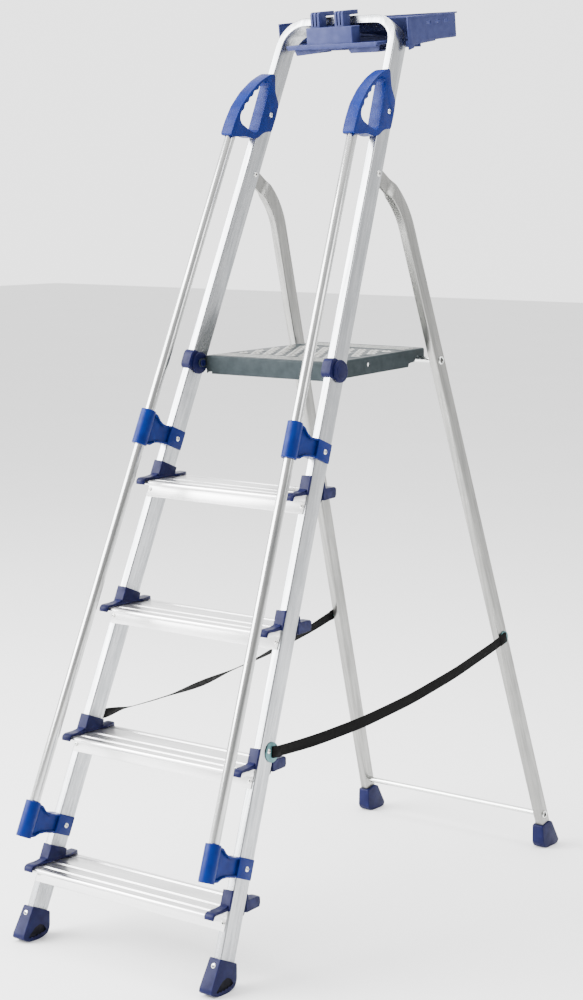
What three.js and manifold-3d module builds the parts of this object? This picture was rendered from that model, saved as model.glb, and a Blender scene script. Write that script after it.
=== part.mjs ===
// A folding platform step ladder: a bent aluminium front frame with four deep treads and handrails,
// a folding platform, curved rear legs that swing in from the top, and a clip-on tool tray.
// Millimetres, +Z up, +X to the ladder's right, front towards -Y.
import * as THREE from "three";
import { mergeVertices } from "three/addons/utils/BufferGeometryUtils.js";
import Module from "manifold-3d";

const wasm = await Module();
wasm.setup();

const degrees = THREE.MathUtils.degToRad;

// ---- Driving dimensions ----
const TREAD_RISE = 240; // from one tread to the next
const FIRST_TREAD = 145; // top of the lowest tread above the floor
const TREAD_COUNT = 4;
const HALF_WIDTH = 246.5; // centre line to a stile's outer face at the floor
const STILE_SPLAY = degrees(3.08); // each stile leans in by this, in the frame's own plane
const FRONT_LEAN = degrees(21.6); // the front frame leans back by this
const REAR_LEAN = degrees(18.3); // the rear legs lean forward by this
const FRAME_LENGTH = 1903; // floor to the top of the hoop, along the frame
const FEET_SPREAD = 1154; // front face of the front frame to the middle of the rear legs, at the floor

// ---- Front frame and rear leg tubes ----
const STILE_WIDTH = 18;
const STILE_DEPTH = 42;
const LEG_WIDTH = 18;
const LEG_DEPTH = 31;
const TUBE_WALL = 1.6;
const HOOP_RADIUS = 62;
const STILE_END = 22; // the tube stops this far up, inside its foot
const LEG_HALF_WIDTH = 248; // centre line to a leg's outer face at the floor
const LEG_SPLAY = degrees(3.3);
const LEG_END = 14;
const LEG_BEND_RADIUS = 170;
const LEG_TOP_SLOPE = degrees(34.5); // the top of the leg runs down and back at this slope

// ---- Fits ----
const GAP = 0.4; // between pieces that touch
const TUBE_END_GAP = 1.5; // below a tube's end, in its foot
const PIVOT_CLEARANCE = 0.4; // around a pin or rivet that something turns on

// ---- Leg pivot ----
const PIVOT_ALONG = 1580; // up the frame
const PIVOT_BEHIND = 30; // behind the frame's front face
const PIVOT_RADIUS = 4;
const TONGUE_THICKNESS = 5; // the leg is pressed flat where it enters the stile
const TONGUE_LENGTH = 38;
const FLARE_LENGTH = 28;
const SLOT_SIDE_CLEARANCE = 1.5;
const SLOT_ABOVE = 19;
const SLOT_BELOW = 44;

// ---- Bars between the rear legs ----
const BAR_RADIUS = 6;
const BAR_WALL = 1.4;
const BAR_FLARE_RADIUS = 8.6;
const BAR_FLARE_LENGTH = 2.4;
const CROSS_BAR_HEIGHT = 75;
const PLATFORM_BAR_DROP = 18; // below the platform's top

// ---- Treads ----
const TREAD_FRONT = 41; // ahead of the frame's front face
const TREAD_REAR = 79; // behind the frame's front face
const TREAD_SKIN = 2.2;
const NOSE_HEIGHT = 9;
const APRON_DROP = 35;
const REAR_LIP = 12;
const APRON_SIDE_MARGIN = 3;
const TREAD_RIVET_DROP = 24; // down the frame from the tread's top

// ---- Tread brackets ----
const COLLAR_ABOVE = 35; // up the frame from the tread's top
const COLLAR_WALL = 4;
const WING_THICKNESS = 5;
const WING_FRONT = 38;
const WING_REAR = 86;
const WING_INSET = 7; // the wing reaches this far in over the tread
const STUB_DROP = 17;

// ---- Platform ----
const PLATFORM_FRONT_GAP = 12; // the front edge stands behind the pin by this
const PLATFORM_PIN_DROP = 18; // the pins sit below the top by this
const PLATFORM_SIDE_GAP = 8.6; // stile's inner face to the platform's side
const PLATFORM_TAPER = 0.0503; // each side runs in by this for each unit of depth
const PLATFORM_SHEET = 1.8;
const HOOK_CLEARANCE = 0.651; // the rear bar to the hooked rear edge
const SKIRT_DROP = 42;
const FLANGE_DROP = 33;
const HOOK_DROP = 20;
const LUG_RADIUS = 13;
const PIN_RADIUS = 4;
const SADDLE_RADIUS = 22;
const SADDLE_DISC = 6.5;
const SADDLE_WEB = 7;

// ---- Handrails, clamps and grips ----
const RAIL_RADIUS = 10.2;
const RAIL_WALL = 1.2;
const RAIL_TOP = 1640;
const RAIL_BOTTOM = 212;
const RAIL_AHEAD_TOP = 64; // ahead of the stile's front face at the top end
const RAIL_AHEAD_BOTTOM = 72;
const CLAMP_HEIGHTS = { lower: 234, upper: 1019 };
const CLAMP_SLEEVE_RADIUS = 15;
const CLAMP_SLEEVE_LENGTH = 70;
const CLAMP_SLEEVE_DROP = 4; // the sleeve's middle sits below the rivet
const CLAMP_PLATE_HEIGHT = 38;
const CLAMP_PLATE_REACH = 39;
const CLAMP_WALL = 3.2;
const CLAMP_WEB = 11;
const GRIP_WIDTH = 27;
const GRIP_RIVET = 1704.5;

// ---- Feet ----
const FOOT_WALL = 4;
const FRONT_FOOT_HEIGHT = 70;
const SOLE_SIDE = 10; // the sole spreads beyond the tube by this on the inside
const FOOT_OUTSIDE = 3; // and by this on the outside
const FOOT_RIVET = 55;
const FOOT_FRONT = 7; // the boot's front stands this far ahead of the stile

// ---- Straps ----
const STRAP_WIDTH = 21;
const STRAP_THICKNESS = 1.5;
const STRAP_SAG = 30;
const ANCHOR_RADIUS = 19;
const ANCHOR_THICKNESS = 2;
const ANCHOR_ALONG = 450; // up the frame
const ANCHOR_BEHIND = 33; // behind the frame's front face
const REAR_ANCHOR_HEIGHT = 489;
const REAR_ANCHOR_RADIUS = 13;

// ---- Tool tray ----
const TRAY_TILT = degrees(7);
const TRAY_FRONT = 712; // front edge, behind the frame's front face at the floor
const TRAY_BOTTOM = 1697;
const TRAY_HALF_WIDTH = 160;
const TRAY_DEPTH = 170;
const TRAY_HEIGHT = 64;
const TRAY_WALL = 2.6;
const TRAY_FLOOR = 18;
const TRAY_BIN_GAP = 9.599; // the hoop's rear face, at the tray's top, to the bin's front wall

// ---- Rivets ----
const RIVET_HEAD = 5;
const RIVET_DOME = 2.2;
const SHANK_RADIUS = 2.4;
const SHANK_CLEARANCE = 0.3;

// ---- Materials ----
const finish = (color, roughness, metalness) =>
  new THREE.MeshStandardMaterial({ color, roughness, metalness });
const ALUMINIUM = finish(0xc9ccce, 0.38, 0.9);
const ZINC = finish(0xbfc6c4, 0.32, 0.9);
const NAVY = finish(0x262c5c, 0.5, 0);
const BLUE = finish(0x1d3f96, 0.42, 0);
const GREY = finish(0x5b6469, 0.5, 0.2);
const BLACK = finish(0x141414, 0.9, 0);
const TRAY_BLUE = finish(0x3a4379, 0.5, 0);

// ---- Solid helpers ----

// A closed three.js geometry as a manifold solid.
function solid(geometry) {
  const bare = geometry.clone();
  bare.deleteAttribute("normal");
  bare.deleteAttribute("uv");
  const merged = mergeVertices(bare, 1e-4);
  return new wasm.Manifold(
    new wasm.Mesh({
      numProp: 3,
      vertProperties: new Float32Array(merged.attributes.position.array),
      triVerts: new Uint32Array(merged.index.array),
    }),
  );
}

// A manifold solid as a three.js mesh.
function mesh(name, body, material) {
  const made = body.getMesh();
  const geometry = new THREE.BufferGeometry();
  geometry.setAttribute("position", new THREE.BufferAttribute(new Float32Array(made.vertProperties), 3));
  geometry.setIndex(new THREE.BufferAttribute(new Uint32Array(made.triVerts), 1));
  geometry.computeVertexNormals();
  const result = new THREE.Mesh(geometry, material);
  result.name = name;
  return result;
}

const union = (...bodies) => bodies.reduce((sum, body) => sum.add(body));
const moved = (body, matrix) => body.transform(matrix.toArray());

function block(x0, x1, y0, y1, z0, z1) {
  const geometry = new THREE.BoxGeometry(x1 - x0, y1 - y0, z1 - z0);
  geometry.translate((x0 + x1) / 2, (y0 + y1) / 2, (z0 + z1) / 2);
  return solid(geometry);
}

// An outline in the plane of the first two axes given, swept along the third from start to end.
function swept(points, axes, start, end) {
  const outline = new THREE.Shape(points.map(([a, b]) => new THREE.Vector2(a, b)));
  const geometry = new THREE.ExtrudeGeometry(outline, { depth: end - start, bevelEnabled: false });
  geometry.translate(0, 0, start);
  geometry.applyMatrix4(new THREE.Matrix4().makeBasis(...axes));
  return solid(geometry);
}
const X = new THREE.Vector3(1, 0, 0);
const Y = new THREE.Vector3(0, 1, 0);
const Z = new THREE.Vector3(0, 0, 1);
const acrossX = (points, x0, x1) => swept(points, [Y, Z, X], x0, x1); // outline in Y and Z
const alongZ = (points, z0, z1) => swept(points, [X, Y, Z], z0, z1); // outline in X and Y
const alongY = (points, y0, y1) =>
  swept(points, [X, Z, Y.clone().negate()], -y1, -y0); // outline in X and Z

// As acrossX, with the two ends at x values that change with height.
function tapered(points, lowAt, highAt) {
  const outline = new THREE.Shape(points.map(([a, b]) => new THREE.Vector2(a, b)));
  const geometry = new THREE.ExtrudeGeometry(outline, { depth: 1, bevelEnabled: false });
  geometry.applyMatrix4(new THREE.Matrix4().makeBasis(Y, Z, X));
  const places = geometry.attributes.position;
  for (let i = 0; i < places.count; i += 1) {
    const z = places.getZ(i);
    places.setX(i, places.getX(i) > 0.5 ? highAt(z) : lowAt(z));
  }
  return solid(geometry);
}

function rodX(y, z, radius, x0, x1, sides = 16) {
  const geometry = new THREE.CylinderGeometry(radius, radius, x1 - x0, sides);
  geometry.rotateZ(Math.PI / 2);
  geometry.translate((x0 + x1) / 2, y, z);
  return solid(geometry);
}

function rodZ(x, y, radius, z0, z1, sides = 16) {
  const geometry = new THREE.CylinderGeometry(radius, radius, z1 - z0, sides);
  geometry.rotateX(Math.PI / 2);
  geometry.translate(x, y, (z0 + z1) / 2);
  return solid(geometry);
}

function circle(x, y, radius, from, to, steps) {
  return Array.from({ length: steps + 1 }, (_, i) => {
    const angle = from + ((to - from) * i) / steps;
    return [x + radius * Math.cos(angle), y + radius * Math.sin(angle)];
  });
}

// ---- Frames of reference ----
const rotation = (x, y) => new THREE.Matrix4().makeRotationFromEuler(new THREE.Euler(x, y, 0));
const stileTurn = rotation(-FRONT_LEAN, 0).multiply(rotation(0, -STILE_SPLAY));
const STILE_CENTRE = HALF_WIDTH - STILE_WIDTH / 2;
const stileToWorld = rotation(-FRONT_LEAN, 0)
  .multiply(new THREE.Matrix4().makeTranslation(STILE_CENTRE, 0, 0))
  .multiply(rotation(0, -STILE_SPLAY));
const LEG_CENTRE = LEG_HALF_WIDTH - LEG_WIDTH / 2;
const legToWorld = new THREE.Matrix4()
  .makeTranslation(LEG_CENTRE, 0, 0)
  .multiply(rotation(0, -LEG_SPLAY));
const alongStile = (distance) => distance / Math.cos(STILE_SPLAY);
const frontFaceY = (z) => z * Math.tan(FRONT_LEAN);
const stileInnerX = (z) =>
  HALF_WIDTH - STILE_WIDTH / Math.cos(STILE_SPLAY) - (z / Math.cos(FRONT_LEAN)) * Math.tan(STILE_SPLAY);
const framePoint = (x, behind, along) =>
  new THREE.Vector3(x, behind, along).applyMatrix4(rotation(-FRONT_LEAN, 0));
const PIVOT = framePoint(0, PIVOT_BEHIND, PIVOT_ALONG);
const PLATFORM_TOP = FIRST_TREAD + TREAD_COUNT * TREAD_RISE;
const PIN_Z = PLATFORM_TOP - PLATFORM_PIN_DROP;
const PIN_Y = frontFaceY(PIN_Z) + STILE_DEPTH / 2 / Math.cos(FRONT_LEAN);
const PIN_ALONG = new THREE.Vector3(0, PIN_Y, PIN_Z).applyMatrix4(rotation(FRONT_LEAN, 0)).z;
const legMiddleY = (z) => FEET_SPREAD - z * Math.tan(REAR_LEAN);
const BAR_Z = PLATFORM_TOP - PLATFORM_BAR_DROP;

// ---- Front frame ----

// The arch of the hoop: up one side, round the top and down the other, as points in X and Z.
function arch(half, top, radius, bottom) {
  const tan = Math.tan(STILE_SPLAY);
  const centreZ = top - radius;
  const centreX = half - centreZ * tan - radius / Math.cos(STILE_SPLAY);
  return [
    [half - bottom * tan, bottom],
    ...circle(centreX, centreZ, radius, STILE_SPLAY, Math.PI / 2, 8),
    ...circle(-centreX, centreZ, radius, Math.PI / 2, Math.PI - STILE_SPLAY, 8),
    [-half + bottom * tan, bottom],
  ];
}

function hoopBand(inset, bottom) {
  const near = inset / Math.cos(STILE_SPLAY);
  const far = (STILE_WIDTH - inset) / Math.cos(STILE_SPLAY);
  const outer = arch(HALF_WIDTH - near, FRAME_LENGTH - inset, HOOP_RADIUS - inset, bottom);
  const innerInset = STILE_WIDTH - inset;
  const inner = arch(HALF_WIDTH - far, FRAME_LENGTH - innerInset, HOOP_RADIUS - innerInset, bottom);
  return outer.concat(inner.reverse());
}

// Where a rivet that goes in from the front sits: its own +X turned to face forward.
const frontRivetPlace = (ahead, along) =>
  new THREE.Matrix4()
    .makeTranslation(0, -ahead, alongStile(along))
    .multiply(new THREE.Matrix4().makeRotationZ(-Math.PI / 2));

const frontHole = (depth, ahead, along) =>
  moved(
    rodX(0, 0, SHANK_RADIUS + SHANK_CLEARANCE, -depth, ahead, 10),
    frontRivetPlace(0, along),
  );

const treadRivetAlong = (z) => z / Math.cos(FRONT_LEAN) - TREAD_RIVET_DROP;

const shankHole = (behind, along, x0, x1) =>
  rodX(behind, alongStile(along), SHANK_RADIUS + SHANK_CLEARANCE, x0, x1, 10);

// What is cut out of the right stile, in the stile's own frame.
function stileCuts() {
  const outer = STILE_WIDTH / 2;
  const middle = STILE_DEPTH / 2;
  const tongueX = LEG_CENTRE - PIVOT.z * Math.tan(LEG_SPLAY);
  const stileX = STILE_CENTRE - PIVOT_ALONG * Math.tan(STILE_SPLAY);
  const slotHalf = TONGUE_THICKNESS / 2 + SLOT_SIDE_CLEARANCE;
  const slotX = tongueX - stileX;
  const pivotAlong = alongStile(PIVOT_ALONG);
  return union(
    block(
      slotX - slotHalf, slotX + slotHalf, PIVOT_BEHIND, STILE_DEPTH + 1,
      pivotAlong - SLOT_BELOW, pivotAlong + SLOT_ABOVE,
    ),
    rodX(PIVOT_BEHIND, pivotAlong, PIVOT_RADIUS + GAP, -outer - 1, outer + 1),
    shankHole(middle, GRIP_RIVET, outer - TUBE_WALL - 1, outer + 1),
    ...Object.values(CLAMP_HEIGHTS).map((along) =>
      shankHole(middle, along, outer - TUBE_WALL - 1, outer + 1),
    ),
    frontHole(TUBE_WALL + 1, 1, FOOT_RIVET),
    ...treadHeights().map((z) => frontHole(TUBE_WALL + 1, 1, treadRivetAlong(z))),
  );
}

function treadHeights() {
  return Array.from({ length: TREAD_COUNT }, (_, i) => FIRST_TREAD + i * TREAD_RISE);
}

// The pin's bore, in the world's frame, through everything that it passes on the right.
const pinBore = () => rodX(PIN_Y, PIN_Z, PIN_RADIUS + PIVOT_CLEARANCE, 0, pinOuterX() + GAP);
const pinOuterX = () => stileMiddleX(PIN_Z) + STILE_WIDTH / 2 + 3;
const stileMiddleX = (z) => stileInnerX(z) + STILE_WIDTH / 2;

function frontFrame() {
  const tube = alongY(hoopBand(0, STILE_END), 0, STILE_DEPTH);
  const bore = alongY(hoopBand(TUBE_WALL, STILE_END - 5), TUBE_WALL, STILE_DEPTH - TUBE_WALL);
  const worldToFrame = rotation(FRONT_LEAN, 0);
  const stileInFrame = new THREE.Matrix4()
    .makeTranslation(STILE_CENTRE, 0, 0)
    .multiply(rotation(0, -STILE_SPLAY));
  const right = moved(stileCuts(), stileInFrame).add(moved(pinBore(), worldToFrame));
  const cuts = right.add(right.mirror([1, 0, 0]));
  return tube.subtract(bore).subtract(cuts);
}

// ---- Treads ----

// The tread's section in Y and Z, from the frame's front face at the tread's top.
function treadSection() {
  const apron = (z) => z * Math.tan(FRONT_LEAN) - GAP;
  const skin = TREAD_SKIN;
  return [
    [TREAD_REAR, -REAR_LIP],
    [TREAD_REAR, 0],
    [-TREAD_FRONT + 4, 0],
    [-TREAD_FRONT + 1, -1.5],
    [-TREAD_FRONT, -4.5],
    [-TREAD_FRONT + 1, -NOSE_HEIGHT + 1.5],
    [-TREAD_FRONT + 4, -NOSE_HEIGHT],
    [apron(-NOSE_HEIGHT) - skin - 4, -NOSE_HEIGHT],
    [apron(-NOSE_HEIGHT - 4) - skin, -NOSE_HEIGHT - 4],
    [apron(-APRON_DROP) - skin, -APRON_DROP],
    [apron(-APRON_DROP), -APRON_DROP],
    [apron(-NOSE_HEIGHT), -NOSE_HEIGHT],
    [apron(-skin) - 2, -skin - 2],
    [apron(-skin) + 4, -skin],
    [TREAD_REAR - skin, -skin],
    [TREAD_REAR - skin, -REAR_LIP],
  ];
}

function tread(z) {
  const outerX = stileInnerX(z) + STILE_WIDTH - APRON_SIDE_MARGIN;
  const innerX = stileInnerX(z) - 1.2;
  const bar = acrossX(treadSection(), -outerX, outerX);
  const behindFace = (drop) => drop * Math.tan(FRONT_LEAN) - GAP;
  const corner = acrossX(
    [
      [behindFace(0), 1],
      [behindFace(-APRON_DROP - 1), -APRON_DROP - 1],
      [TREAD_REAR + 1, -APRON_DROP - 1],
      [TREAD_REAR + 1, 1],
    ],
    innerX,
    outerX + 1,
  );
  const hole = moved(frontHole(1, TREAD_SKIN + 3, -TREAD_RIVET_DROP), stileTurn);
  const cut = corner.add(hole.translate([stileMiddleX(z), 0, 0]));
  return bar.subtract(cut).subtract(cut.mirror([1, 0, 0]));
}

// One moulded bracket, right hand, from the middle of the stile's front face at the tread's top.
function treadBracket() {
  const half = STILE_WIDTH / 2 + GAP;
  const collar = moved(
    union(
      block(-half - COLLAR_WALL, half, -COLLAR_WALL - GAP, 0, -5, COLLAR_ABOVE),
      block(-half - COLLAR_WALL, -half, -COLLAR_WALL - GAP, STILE_DEPTH - 1, -20, COLLAR_ABOVE),
    ),
    stileTurn,
  ).subtract(block(-60, 60, -100, 200, -60, GAP));
  const wing = block(-half - WING_INSET, half - 2, -WING_FRONT, WING_REAR, GAP, WING_THICKNESS);
  const rearLip = block(-half + 1, half - 2, TREAD_REAR + GAP, WING_REAR, -STUB_DROP, GAP + 1);
  const stubStart = STILE_DEPTH / Math.cos(FRONT_LEAN) + 4;
  const stub = block(-half + 1, half - 2, stubStart, WING_REAR, -STUB_DROP, GAP + 1);
  const stile = moved(block(-half, half + 20, -GAP, STILE_DEPTH + GAP, -200, 200), stileTurn);
  const treadSpace = block(-60, -half, -TREAD_FRONT - 5, TREAD_REAR + GAP, -60, GAP);
  const noseSpace = block(-60, 60, -TREAD_FRONT - 5, 1, -60, GAP);
  return union(collar, wing, rearLip, stub)
    .subtract(stile)
    .subtract(treadSpace)
    .subtract(noseSpace);
}

// ---- Rivets: a domed head on +X with a shank towards -X ----
function rivet(shankLength, headRadius = RIVET_HEAD, shankRadius = SHANK_RADIUS) {
  const profile = [
    [0, -shankLength],
    [shankRadius, -shankLength],
    [shankRadius, 0],
    [headRadius, 0],
    [headRadius * 0.86, RIVET_DOME * 0.62],
    [headRadius * 0.45, RIVET_DOME],
    [0, RIVET_DOME],
  ].map(([r, h]) => new THREE.Vector2(r, h));
  const geometry = new THREE.LatheGeometry(profile, 12);
  geometry.rotateZ(-Math.PI / 2);
  return solid(geometry);
}

// ---- Handrail and what holds it, in the stile's own frame ----
const railSlope = () => (RAIL_AHEAD_BOTTOM - RAIL_AHEAD_TOP) / (RAIL_TOP - RAIL_BOTTOM);
const railAhead = (along) => RAIL_AHEAD_TOP + (RAIL_TOP - along) * railSlope();
const railTurn = (along) =>
  new THREE.Matrix4()
    .makeTranslation(0, -railAhead(along), alongStile(along))
    .multiply(rotation(-Math.atan(railSlope()), 0));

function handrail() {
  const length = alongStile(RAIL_TOP - RAIL_BOTTOM);
  const tube = rodZ(0, 0, RAIL_RADIUS, 0, length, 20);
  const bore = rodZ(0, 0, RAIL_RADIUS - RAIL_WALL, -1, length + 1, 20);
  return moved(tube.subtract(bore), railTurn(RAIL_BOTTOM));
}

// A clamp: a sleeve on the rail, a web, and a saddle over the stile.
function railClamp(along) {
  const sleeveLow = -CLAMP_SLEEVE_DROP - CLAMP_SLEEVE_LENGTH / 2;
  const sleeveHigh = sleeveLow + CLAMP_SLEEVE_LENGTH;
  const plate = CLAMP_PLATE_HEIGHT / 2;
  const half = STILE_WIDTH / 2 + GAP + CLAMP_WALL;
  const ahead = railAhead(along);
  const sleeve = moved(
    rodZ(0, -2, CLAMP_SLEEVE_RADIUS, sleeveLow, sleeveHigh, 20),
    rotation(-Math.atan(railSlope()), 0),
  ).translate([0, -ahead, 0]);
  const web = acrossX(
    [
      [-ahead, sleeveLow + 2],
      [-ahead + 22, sleeveLow + 8],
      [-ahead + 36, -plate + 1],
      [-1, -plate],
      [-1, plate],
      [-ahead + 36, plate + 1],
      [-ahead + 22, sleeveHigh - 10],
      [-ahead, sleeveHigh - 2],
    ],
    -CLAMP_WEB / 2,
    CLAMP_WEB / 2,
  );
  const saddle = block(-half, half, -CLAMP_WALL - GAP, CLAMP_PLATE_REACH, -plate, plate);
  const stile = block(
    -STILE_WIDTH / 2 - GAP, STILE_WIDTH / 2 + GAP, -GAP, STILE_DEPTH + 20, -plate - 1, plate + 1,
  );
  const rail = moved(
    rodZ(0, 0, RAIL_RADIUS + GAP, sleeveLow - 2, sleeveHigh + 2, 20),
    rotation(-Math.atan(railSlope()), 0),
  ).translate([0, -ahead, 0]);
  const hole = rodX(STILE_DEPTH / 2, 0, SHANK_RADIUS + SHANK_CLEARANCE, 0, half + 1, 10);
  const clamp = union(sleeve, web, saddle).subtract(stile).subtract(rail).subtract(hole);
  return clamp.translate([0, 0, alongStile(along)]);
}

// The moulded grip: a D round the hand, over the stile, taking the rail's top end.
function gripHandle() {
  const base = GRIP_RIVET;
  const outline = [
    [-80, -84],
    [-81, -50],
    [-76, -20],
    [-62, 15],
    [-42, 46],
    [-20, 68],
    [-4, 79],
    [10, 81],
    [20, 68],
    [37, 40],
    [38, -21],
    [18, -37],
    [4, -58],
    [-15, -66],
    [-48, -74],
    [-66, -78],
    [-72, -84],
  ];
  const opening = [
    [-8, -50],
    [-8, 34],
    [-22, 42],
    [-37, 30],
    [-50, 8],
    [-48, 4],
    [-57, -9],
    [-56, -14],
    [-63, -26],
    [-61, -31],
    [-66, -42],
    [-60, -52],
    [-44, -54],
  ];
  const half = GRIP_WIDTH / 2;
  const body = acrossX(outline, -half, half);
  const hand = acrossX(opening, -half - 1, half + 1);
  const stile = block(
    -STILE_WIDTH / 2 - GAP, STILE_WIDTH / 2 + GAP, -GAP, STILE_DEPTH + 20, -120, 120,
  );
  const railEnd = moved(
    rodZ(0, 0, RAIL_RADIUS + GAP, -200, alongStile(RAIL_TOP) - alongStile(base) + GAP, 20),
    rotation(-Math.atan(railSlope()), 0),
  ).translate([0, -railAhead(base), 0]);
  const hole = rodX(STILE_DEPTH / 2, 0, SHANK_RADIUS + SHANK_CLEARANCE, 0, half + 1, 10);
  const grip = body.subtract(hand).subtract(stile).subtract(railEnd).subtract(hole);
  return grip.translate([0, 0, alongStile(base)]);
}

// ---- Feet, from the tube's middle at the floor ----

// A boot with the tube's end let into it: the outline is its side, in Y and Z.
function foot(outline, turn, splay, tubeFront, tubeRear, tubeEnd, width) {
  const half = width / 2 + GAP;
  const drift = (z) => -z * Math.tan(splay);
  const boot = tapered(
    outline,
    (z) => drift(z) - width / 2 - SOLE_SIDE + (z / FRONT_FOOT_HEIGHT) * (SOLE_SIDE - FOOT_WALL),
    (z) => drift(z) + width / 2 + FOOT_OUTSIDE,
  );
  const pocket = block(-half, half, tubeFront - GAP, tubeRear + GAP, tubeEnd - TUBE_END_GAP, 200);
  return boot.subtract(moved(pocket, turn));
}

const frontFootOutline = [
  [20, 67],
  [67, 48],
  [67, 20],
  [60, 8],
  [46, 1.5],
  [32, 0],
  [10, 0],
  [0, 1.2],
  [-6, 5],
];
const rearFootOutline = [
  [-38, 51],
  [-10, 57.5],
  [3, 54.5],
  [29, 9],
  [24, 2],
  [12, 0],
  [-20, 0],
  [-30, 2.5],
  [-36, 12],
];
const legTurn = rotation(0, -LEG_SPLAY).multiply(rotation(REAR_LEAN, 0));
const frontFoot = () =>
  foot(frontFootOutline, stileTurn, STILE_SPLAY, 0, STILE_DEPTH, STILE_END, STILE_WIDTH).subtract(
    moved(frontHole(1, FOOT_FRONT + 3, FOOT_RIVET), stileTurn),
  );
const rearFoot = () =>
  foot(rearFootOutline, legTurn, LEG_SPLAY, -LEG_DEPTH / 2, LEG_DEPTH / 2, LEG_END, LEG_WIDTH);

// ---- Rear legs, in the leg's own frame ----
const legDown = [Math.sin(REAR_LEAN), -Math.cos(REAR_LEAN)];
const topDown = [Math.cos(LEG_TOP_SLOPE), -Math.sin(LEG_TOP_SLOPE)];
const toLegT = (z) => z / Math.cos(LEG_SPLAY);

// Where the leg's top run meets its long run, as the distance from the pivot.
function topRunLength() {
  const tan = Math.tan(REAR_LEAN);
  const pivotT = toLegT(PIVOT.z);
  const gapY = FEET_SPREAD - tan * pivotT - PIVOT.y;
  return gapY / (topDown[0] + tan * topDown[1]);
}

// The leg as a band of constant depth along its middle line, from a start distance to its end.
function legBand(halfDepth, roundTop, start, endT) {
  const turn = Math.PI / 2 - REAR_LEAN - LEG_TOP_SLOPE;
  const tangent = LEG_BEND_RADIUS * Math.tan(turn / 2);
  const corner = topRunLength();
  const pivotT = toLegT(PIVOT.z);
  const at = (distance) => [PIVOT.y + topDown[0] * distance, pivotT + topDown[1] * distance];
  const bendStart = at(corner - tangent);
  const centre = [
    bendStart[0] - LEG_BEND_RADIUS * Math.sin(LEG_TOP_SLOPE),
    bendStart[1] - LEG_BEND_RADIUS * Math.cos(LEG_TOP_SLOPE),
  ];
  const from = Math.PI / 2 - LEG_TOP_SLOPE;
  const outerArc = circle(centre[0], centre[1], LEG_BEND_RADIUS + halfDepth, from, from - turn, 8);
  const innerArc = circle(centre[0], centre[1], LEG_BEND_RADIUS - halfDepth, from - turn, from, 8);
  const bendEnd = circle(centre[0], centre[1], LEG_BEND_RADIUS, from - turn, from - turn, 1)[0];
  const run = (bendEnd[1] - endT) / -legDown[1];
  const end = [bendEnd[0] + legDown[0] * run, bendEnd[1] + legDown[1] * run];
  const side = [-legDown[1] * halfDepth, legDown[0] * halfDepth];
  const top = at(start);
  const topSide = [-topDown[1] * halfDepth, topDown[0] * halfDepth];
  const cap = roundTop
    ? circle(top[0], top[1], halfDepth, from + Math.PI, from, 8)
    : [
        [top[0] - topSide[0], top[1] - topSide[1]],
        [top[0] + topSide[0], top[1] + topSide[1]],
      ];
  return [
    ...cap,
    ...outerArc,
    [end[0] + side[0], end[1] + side[1]],
    [end[0] - side[0], end[1] - side[1]],
    ...innerArc,
  ];
}

function rearLeg() {
  const half = LEG_WIDTH / 2;
  const flat = TONGUE_THICKNESS / 2;
  const tube = acrossX(legBand(LEG_DEPTH / 2, true, 0, toLegT(LEG_END)), -half, half);
  const tongueAxes = [
    new THREE.Vector3(0, ...topDown),
    X,
    new THREE.Vector3(0, ...topDown).cross(X),
  ];
  const boreStart = TONGUE_LENGTH + FLARE_LENGTH + 4;
  const solidEnd = swept(
    [
      [-LEG_DEPTH, -half],
      [boreStart, -half],
      [boreStart, half],
      [-LEG_DEPTH, half],
    ],
    tongueAxes,
    -2 * LEG_DEPTH,
    2 * LEG_DEPTH,
  ).translate([0, PIVOT.y, toLegT(PIVOT.z)]);
  const bore = acrossX(
    legBand(LEG_DEPTH / 2 - TUBE_WALL, false, 0, -20),
    -half + TUBE_WALL,
    half - TUBE_WALL,
  ).subtract(solidEnd);
  const flattened = swept(
    [
      [-LEG_DEPTH, flat],
      [TONGUE_LENGTH, flat],
      [TONGUE_LENGTH + FLARE_LENGTH * 0.3, flat + 1.2],
      [TONGUE_LENGTH + FLARE_LENGTH * 0.7, half - 1.2],
      [TONGUE_LENGTH + FLARE_LENGTH, half],
      [TONGUE_LENGTH + FLARE_LENGTH, half + 5],
      [-LEG_DEPTH, half + 5],
    ],
    tongueAxes,
    -LEG_DEPTH,
    LEG_DEPTH,
  ).translate([0, PIVOT.y, toLegT(PIVOT.z)]);
  const worldToLeg = legToWorld.clone().invert();
  const bars = [CROSS_BAR_HEIGHT, BAR_Z].map((z) =>
    moved(rodX(legMiddleY(z), z, BAR_RADIUS + GAP, 0, 400), worldToLeg),
  );
  const pivot = moved(rodX(PIVOT.y, PIVOT.z, PIVOT_RADIUS + PIVOT_CLEARANCE, 0, 400), worldToLeg);
  return tube
    .subtract(bore)
    .subtract(flattened)
    .subtract(flattened.mirror([1, 0, 0]))
    .subtract(union(...bars, pivot));
}

// A tube across both legs, its open ends flared over their outer faces.
function legBar(z) {
  const outer = LEG_HALF_WIDTH - z * Math.tan(LEG_SPLAY) + 1.2;
  const y = legMiddleY(z);
  const tube = rodX(y, z, BAR_RADIUS, -outer - BAR_FLARE_LENGTH, outer + BAR_FLARE_LENGTH);
  const flare = rodX(y, z, BAR_FLARE_RADIUS, outer, outer + BAR_FLARE_LENGTH);
  const bore = rodX(y, z, BAR_RADIUS - BAR_WALL, -outer - 20, outer + 20);
  return union(tube, flare, flare.mirror([1, 0, 0])).subtract(bore);
}

// ---- Platform ----
const PLATFORM_FRONT = PIN_Y + PLATFORM_FRONT_GAP;
const PLATFORM_REAR = legMiddleY(BAR_Z) + BAR_RADIUS + HOOK_CLEARANCE + PLATFORM_SHEET;
const PLATFORM_HALF = stileInnerX(PIN_Z) - PLATFORM_SIDE_GAP;

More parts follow.
